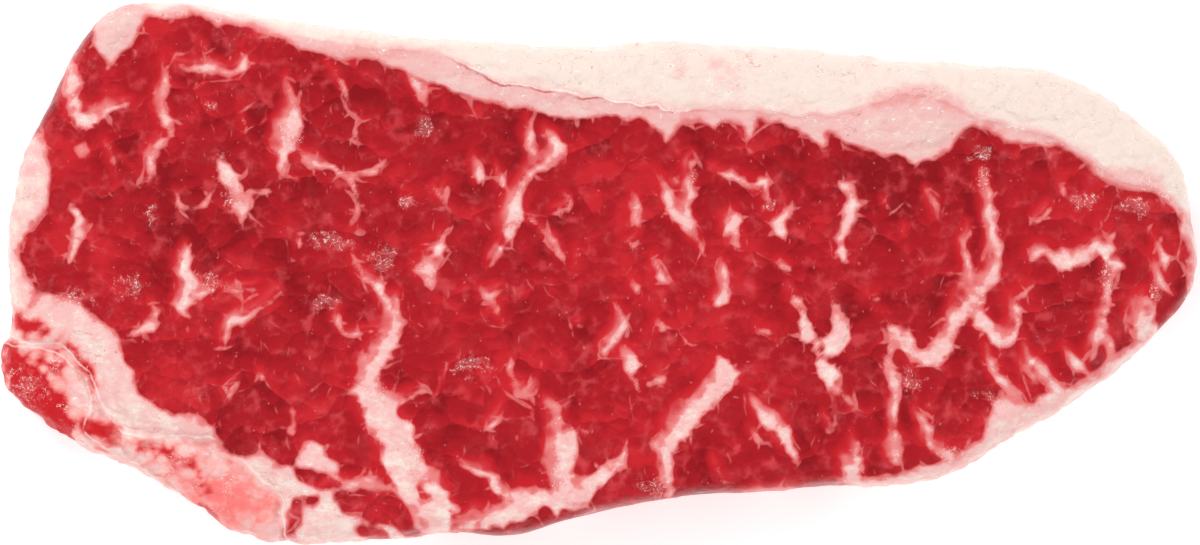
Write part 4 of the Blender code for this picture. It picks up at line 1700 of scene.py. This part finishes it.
@dataclass(frozen=True)
class FatLook:
    """Colour of the fat, from thin pink films to deep cream, with painted shade in its creases and painted
    highlights on its ridges.
    """

    mottle: Layer = Layer(3.0, 4.0, 0.62)
    grain: Layer = Layer(0.8, 2.0, 0.6)
    cloud: Layer = Layer(9.0, 1.0, 0.5)
    mottle_share: float = 1.9
    grain_share: float = 0.7
    cloud_share: float = 0.6
    blush_share: float = 0.42
    outer_share: float = 0.46
    # How strongly the painted shade in the fat's creases shows.
    crease_shade: float = 0.30
    speck: float = 0.45
    strand_stretch: tuple[float, float, float] = (0.16, 0.30, 0.4)
    # Place on the strand noise, thinness, width and strength of the painted shade line, the painted
    # highlight line and the vessel line.
    groove_shade: tuple[float, float, float, float] = (0.515, 0.002, 0.014, 0.6)
    ridge: tuple[float, float, float, float] = (0.5, 0.002, 0.010, 0.9)
    vein: tuple[float, float, float, float] = (0.60, 0.001, 0.009, 0.45)

    def colour(
        self, graph: Graph, depth: Signal, fine: Signals, specks: Signal, tones: BeefTones
    ) -> Signal:
        """Works out the fat's colour.

        Args:
            graph: the material's graph.
            depth: how deep inside the fat the point is, in millimetres.
            fine: the small bundles, which are the fat's lobules too.
            specks: where the small specks are.
            tones: the meat's colours.

        Returns:
            The colour.
        """
        place = graph.place((0.7, 1.0, 1.0))
        mottle = self.mottle.over(graph, place)
        grain = self.grain.over(graph, place)
        cloud = self.cloud.over(graph, place)
        bulk = graph.field("bulk")
        fascia = graph.field("fascia")
        blush = graph.field("blush")
        in_bulk = bulk.ease(-0.5, 1.0)
        in_cap = graph.field("cap").ease(0.0, 1.2)
        outer = fascia.ease(-0.5, 0.7) * in_cap
        rich = depth.ease(0.0, 1.3, 0.20, 0.60) + in_bulk * bulk.ease(0.0, 3.0, -0.12, 0.08)
        rich = rich - blush * self.blush_share + outer * self.outer_share
        rich = rich + abs(fascia).ease(0.2, 3.4, -0.28, 0.0) * in_cap
        mixed = mottle * self.mottle_share + grain * self.grain_share + cloud * self.cloud_share
        calm = outer.ease(0.0, 1.0, 1.0, 0.60) * in_bulk.ease(0.0, 1.0, 1.0, 0.75)
        rich = rich + mixed * calm
        pale = graph.blend(rich.ease(0.42, 1.0), tones.fat_pink, tones.fat_cream)
        body = graph.blend(rich.ease(0.0, 0.42), tones.fat_red, pale)
        inner_layer = in_cap * fascia.ease(-0.5, 0.7, 0.55, 0.0)
        body = graph.blend(inner_layer, body, tones.film_pink)
        deep = bulk.ease(0.8, 2.5)
        # Painted shade: the rims of the fat's lobules are painted a darker beige, as shade in the creases
        # between them.
        shade = fine["Near"].ease(0.45, 0.85, 0.0, self.crease_shade) * mottle.ease(-0.12, 0.10, 1.0, 0.1)
        body = graph.blend(shade * deep, body, tones.crease_shade)
        # Painted highlight and shade: thin bright lines on the fat's wrinkle ridges, each with a darker tan
        # line of painted shade beside it; the red lines are small vessels.
        strand = graph.noise(graph.place(self.strand_stretch), 1.0, 3.0, 0.55)
        shows = (grain + mottle).ease(-0.02, 0.10) * deep
        veined = graph.larger(cloud.ease(0.02, 0.08), blush) * deep
        for (level, thin, wide, strength), where, tone in (
            (self.groove_shade, shows, tones.groove_shade),
            (self.ridge, shows, tones.glint),
            (self.vein, veined, tones.vessel_and_shadow_red),
        ):
            line = abs(strand - level).ease(thin, wide, strength, 0.0)
            body = graph.blend(line * where, body, tone)
        dots = specks * graph.field("top") * cloud.ease(0.0, 0.10, 0.0, self.speck)
        body = graph.blend(dots, body, tones.blood)
        return self.flap(graph, body, (mottle, grain, cloud), fine, tones)

    def flap(
        self, graph: Graph, body: Signal, layers: tuple[Signal, Signal, Signal], fine: Signals,
        tones: BeefTones,
    ) -> Signal:
        """Turns the fat of the flap to salmon and red.

        Args:
            graph: the material's graph.
            body: the fat's colour so far.
            layers: its mottle, grain and cloud.
            fine: the small bundles.
            tones: the meat's colours.

        Returns:
            The colour.
        """
        mottle, grain, cloud = layers
        flap = graph.field("flap")
        salmon = (graph.field("salmon") + cloud + mottle * 3.0).ease(0.0, 1.3)
        blotch = (mottle + cloud).ease(0.0, 0.26, 0.0, 0.8)
        colour = graph.blend(graph.larger(salmon, blotch) * flap, body, tones.salmon)
        between = fine["Near"].ease(0.38, 0.75, 0.0, 0.30) * flap
        colour = graph.blend(between, colour, tones.salmon)
        red = graph.field("redflap") + (grain + cloud) * 1.6 + (fine["Near"] - 0.45) * 2.4
        colour = graph.blend(red.ease(-2.0, 0.2, 0.0, 0.85), colour, tones.salmon)
        return graph.blend(red.ease(-0.8, 1.0), colour, tones.flap_red)


@dataclass(frozen=True)
class SteakFinish:
    """Raw beef: red lean with marbling, cream and pink fat, and a wet surface, with painted glow, shade,
    highlights, glints and sheen in its colour.
    """

    name: str = "raw_beef"
    tones: BeefTones = BeefTones()
    lean: LeanLook = LeanLook()
    fat: FatLook = FatLook()
    # Each line: a white line that is partly a painted highlight, and a red line beside it that is partly
    # painted shadow.
    gristle: Hairline = Hairline(0.7, 0.9, 0.3)
    fold: Hairline = Hairline(0.6, 0.5, 1.1)
    membrane: Hairline = Hairline(0.5, 0.35, 0.7)
    coarse_lobe: float = 1.7
    fine_lobe: float = 1.5
    swell: float = 2.0
    edge_grain: float = 0.4
    # Strength of the painted glow beside the seams, and of its pinker core.
    painted_glow: float = 0.70
    painted_glow_core: float = 0.30
    stroke: float = 0.50
    speck: float = 0.45
    # How strongly the painted glint curls and the painted paler sheen show in the wet patches.
    patch_glint: float = 0.58
    patch_sheen: float = 0.30
    lean_roughness: float = 0.28
    fat_roughness: float = 0.42
    gloss: float = 0.14
    film: float = 0.5
    coat_roughness: float = 0.08
    grain_rise: float = 0.10
    lump_rise: float = 0.22
    fat_rise: float = 0.10
    fat_relief: float = 2.0

    def marbling(self, graph: Graph, coarse: Signals, fine: Signals) -> Signal:
        """How deep each point is inside the fat, with lobes along the seams.

        Args:
            graph: the material's graph.
            coarse: the large bundles.
            fine: the small bundles.

        Returns:
            The depth in millimetres, below zero in the lean.
        """
        fat = graph.field("fat")
        grain = graph.sway(graph.place((1.0, 1.0, 0.6)), 1.3, 3.0, 0.6)
        swell = graph.sway(graph.place((1.0, 1.0, 0.5)), 4.6, 1.0)
        lobes = (
            (coarse["Near"] - 0.50) * self.coarse_lobe
            + (fine["Near"] - 0.45) * self.fine_lobe
            + swell * self.swell
        )
        seams = fat + lobes * graph.field("lobed") + grain * self.edge_grain
        seams = seams * graph.field("soft").ease(0.0, 1.0, 1.0, 0.34)
        thin = graph.larger(coarse["Web"], fine["Web"]).ease(-0.5, 1.7, -0.6, 0.17)
        branch = coarse["Wall"].ease(0.0, 0.8, 0.0, -0.6) + fat.ease(-2.2, -0.3, -0.6, -0.12)
        branch = graph.math("MINIMUM", branch + swell * 1.6, -0.12)
        return graph.larger(seams, graph.larger(thin, branch) + grain * 0.5)

    def lines(self, graph: Graph, colour: Signal) -> Signal:
        """Draws the gristle line in the cap and the folds of membrane on the flap, each with a white line
        that is partly a painted highlight and a red line that is partly painted shadow.

        Args:
            graph: the material's graph.
            colour: the colour so far.

        Returns:
            The colour with the lines.
        """
        field = graph.field
        in_cap = field("cap").ease(0.3, 1.2) * field("gristle")
        on_roll = field("bulk").ease(0.3, 1.2)
        colour = self.gristle.draw(graph, colour, field("fascia"), in_cap, self.tones)
        # On the fold, the white line along the crease is a painted highlight and the wide red band beside
        # it, on the flap, is painted shadow under the roll.
        colour = self.fold.draw(graph, colour, field("fold") * -1.0, on_roll, self.tones)
        return self.membrane.draw(graph, colour, field("inner"), field("flap"), self.tones)

    def build(self) -> bpy.types.Material:
        """Makes the material.

        Returns:
            The finished material.
        """
        tones = self.tones
        material = bpy.data.materials.new(self.name)
        material.use_nodes = True
        graph = Graph(material.node_tree)
        web, flecks = MarblingWeb(), Flecks()
        coarse = web.place(graph, Size=5.6, Cut=1.04)
        fine = web.place(graph, Size=2.5, Cut=0.96, Shift=40.0)
        strokes = flecks.place(graph, Size=2.6, Stretch=0.26, Share=0.26, Width=0.07)["Fleck"]
        specks = flecks.place(graph, Size=1.2, Stretch=0.8, Share=0.06, Width=0.15, Shift=17.0)["Fleck"]
        depth = self.marbling(graph, coarse, fine)
        lean = self.lean.colour(graph, coarse, fine, tones)
        # Painted glow: the lean is painted brighter red on the upper-left side of the seams and round the
        # small flecks of fat, pinker at its core.
        painted_glow = graph.larger(graph.field("painted_glow"), coarse["Web"].ease(-0.4, 0.3, 0.0, 0.6))
        lean = graph.blend(painted_glow.ease(0.05, 0.9, 0.0, self.painted_glow), lean, tones.painted_glow_red)
        lean = graph.blend(painted_glow.ease(0.7, 1.0, 0.0, self.painted_glow_core), lean, tones.veil_and_glow_pink)
        lean = graph.blend(graph.larger(strokes * self.stroke, specks * self.speck), lean, tones.edge_and_sheen_pink)
        edge = graph.blend(depth.ease(-0.45, 0.10), lean, tones.edge_and_sheen_pink)
        fat = self.fat.colour(graph, depth, fine, specks, tones)
        colour = self.lines(graph, graph.blend(depth.ease(-0.02, 0.55), edge, fat))
        fatness = depth.ease(-0.1, 0.4)
        wet = graph.field("wet")
        # Painted sheen and highlights: the wet patches are painted a paler pink, and thin bright glint
        # curls are painted in them and, sparsely, on the fat. The patches also get a clear coat.
        patch = (wet + graph.sway(graph.place(), 1.9, 3.0, 0.7) * 3.4).ease(0.35, 1.0)
        patch = patch * wet.ease(0.02, 0.4)
        colour = graph.blend(patch * self.patch_sheen, colour, tones.edge_and_sheen_pink)
        sparse_glints = graph.noise(graph.place(), 3.2, 2.0).ease(0.56, 0.68)
        sparse_glints = sparse_glints * fatness.ease(0.0, 1.0, 0.0, 0.6)
        glint_curls = PaintedGlintCurls().place(graph, Size=0.66, Width=0.065, Gaps=0.47)["GlintCurl"]
        shine = graph.larger(patch * self.patch_glint, sparse_glints) * glint_curls
        shader = material.node_tree.nodes["Principled BSDF"]
        graph.put(shader.inputs["Base Color"], graph.blend(shine, colour, tones.glint))
        self.surface(graph, shader, fatness, patch)
        return material

    def surface(self, graph: Graph, shader: bpy.types.Node, fatness: Signal, patch: Signal) -> None:
        """Sets how wet and how rough the surface is, and its fine relief.

        Args:
            graph: the material's graph.
            shader: the material's Principled BSDF.
            fatness: 1 on fat and 0 on lean.
            patch: 1 where the wet surface is puckered.
        """
        place = graph.place()
        wet = graph.noise(place, 5.0, 2.0, 0.6)
        rough = fatness.ease(0.0, 1.0, self.lean_roughness, self.fat_roughness)
        graph.put(shader.inputs["Roughness"], rough - (wet - 0.5) * 0.25)
        film = graph.larger(wet.ease(0.54, 0.68, 0.0, 0.6) * graph.field("top"), patch)
        graph.put(shader.inputs["Coat Weight"], film * self.film)
        shader.inputs["Coat Roughness"].default_value = self.coat_roughness
        shader.inputs["Specular IOR Level"].default_value = self.gloss
        on_fat = graph.field("fat").ease(-0.3, 0.5)
        relief = graph.sway(place, 0.9, 1.0) * self.grain_rise
        relief = relief + graph.sway(place, 2.6, 1.0) * self.lump_rise
        height = relief * on_fat.ease(0.0, 1.0, 1.0, self.fat_relief) + on_fat * self.fat_rise
        bump = graph.take("Normal", "Bump", {"Height": height, "Distance": MM, "Strength": 1.0})
        graph.put(shader.inputs["Normal"], bump)


# ---------------------------------------------------------------------------
# The studio.
# ---------------------------------------------------------------------------

@dataclass(frozen=True)
class Lamp:
    """One soft panel of light, by its bearing and height round the slice."""

    name: str
    bearing: float
    elevation: float
    distance: float
    size: float
    power: float

    def build(self, target: Vector) -> bpy.types.Object:
        """Makes the lamp.

        Args:
            target: the place it shines at.

        Returns:
            The lamp's object.
        """
        data = bpy.data.lights.new(self.name, "AREA")
        data.shape = "SQUARE"
        data.size = self.size
        data.energy = self.power
        lamp = bpy.data.objects.new(self.name, data)
        flat = math.cos(math.radians(self.elevation))
        way = Vector((
            flat * math.cos(math.radians(self.bearing)),
            flat * math.sin(math.radians(self.bearing)),
            math.sin(math.radians(self.elevation)),
        ))
        lamp.location = target + way * self.distance
        lamp.rotation_euler = (-way).to_track_quat("-Z", "Y").to_euler()
        bpy.context.scene.collection.objects.link(lamp)
        return lamp


@dataclass(frozen=True)
class Studio:
    """A pale floor, soft light and a camera that looks straight down."""

    floor_size: float = 6.0
    floor_tone: float = 1.0
    sky: float = 0.60
    floor_glow: float = 0.36
    floor_gap: float = 0.0002
    floor_roughness: float = 0.9
    camera_reach: float = 20.0
    camera_distance: float = 1.5
    sensor: float = 36.0
    view_width: float = 1.0022
    focus_height: float = 0.6
    lamps: tuple[Lamp, ...] = (
        Lamp("key_panel", 125.0, 52.0, 1.1, 0.40, 3.6),
        Lamp("fill_panel", -45.0, 48.0, 1.3, 0.9, 2.4),
        Lamp("side_panel", 35.0, 40.0, 1.3, 0.7, 1.7),
        Lamp("low_panel", 215.0, 38.0, 1.3, 0.7, 1.8),
    )

    def floor(self) -> bpy.types.Object:
        """Makes the floor and its plain finish.

        Returns:
            The floor.
        """
        half = self.floor_size / 2.0
        mesh = bpy.data.meshes.new("floor")
        low = -self.floor_gap
        corners = [(-half, -half, low), (half, -half, low), (half, half, low), (-half, half, low)]
        mesh.from_pydata(corners, [], [(0, 1, 2, 3)])
        floor = bpy.data.objects.new("floor", mesh)
        bpy.context.scene.collection.objects.link(floor)
        material = bpy.data.materials.new("plain_floor")
        material.use_nodes = True
        shader = material.node_tree.nodes["Principled BSDF"]
        shader.inputs["Base Color"].default_value = (self.floor_tone,) * 3 + (1.0,)
        shader.inputs["Roughness"].default_value = self.floor_roughness
        shader.inputs["Specular IOR Level"].default_value = 0.0
        shader.inputs["Emission Color"].default_value = (1.0, 1.0, 1.0, 1.0)
        shader.inputs["Emission Strength"].default_value = self.floor_glow
        mesh.materials.append(material)
        return floor

    def world(self) -> None:
        """Gives the room its even light."""
        world = bpy.data.worlds.new("studio")
        world.use_nodes = True
        world.node_tree.nodes["Background"].inputs["Color"].default_value = (1.0, 1.0, 1.0, 1.0)
        world.node_tree.nodes["Background"].inputs["Strength"].default_value = self.sky
        bpy.context.scene.world = world
        bpy.context.scene.view_settings.view_transform = "Standard"

    def camera(self, low: Vector, high: Vector) -> bpy.types.Object:
        """Makes the camera, straight above the slice.

        Args:
            low: the solid's lowest corner.
            high: its highest corner.

        Returns:
            The camera.
        """
        data = bpy.data.cameras.new("camera")
        camera = bpy.data.objects.new("camera", data)
        level = low.z + (high.z - low.z) * self.focus_height
        middle = (low + high) / 2.0
        camera.location = (middle.x, middle.y, level + self.camera_distance)
        data.sensor_width = self.sensor
        data.lens = self.sensor * self.camera_distance / ((high.x - low.x) * self.view_width)
        data.clip_end = self.camera_reach
        bpy.context.scene.collection.objects.link(camera)
        bpy.context.scene.camera = camera
        return camera

    def build(self) -> None:
        """Sets the whole studio up."""
        low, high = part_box(NODE)
        self.world()
        LOG.info("stage: %s", self.floor().name)
        for lamp in self.lamps:
            LOG.info("lamp: %s", lamp.build((low + high) / 2.0).name)
        LOG.info("camera: %s", self.camera(low, high).name)


@dataclass
class Steak:
    """The dressed slice: its skin and its finish."""

    skin: SteakSkin
    finish: SteakFinish

    def build(self) -> bpy.types.Object:
        """Builds the skin, dresses it and puts it in the solid's place.

        Returns:
            The skin's object.
        """
        piece = self.skin.build()
        piece.data.materials.append(self.finish.build())
        LOG.info("finish: %s", self.finish.name)
        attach(piece, BODY)
        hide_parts(NODE)
        return piece


def main() -> None:
    """Builds the studio and the steak."""
    logging.basicConfig(level=logging.INFO, format="%(name)s: %(message)s")
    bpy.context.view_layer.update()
    Studio().build()
    piece = Steak(SteakSkin(), SteakFinish()).build()
    piece.data.calc_loop_triangles()
    LOG.info("%s: %d triangles", piece.name, len(piece.data.loop_triangles))


if __name__ == "__main__":
    main()
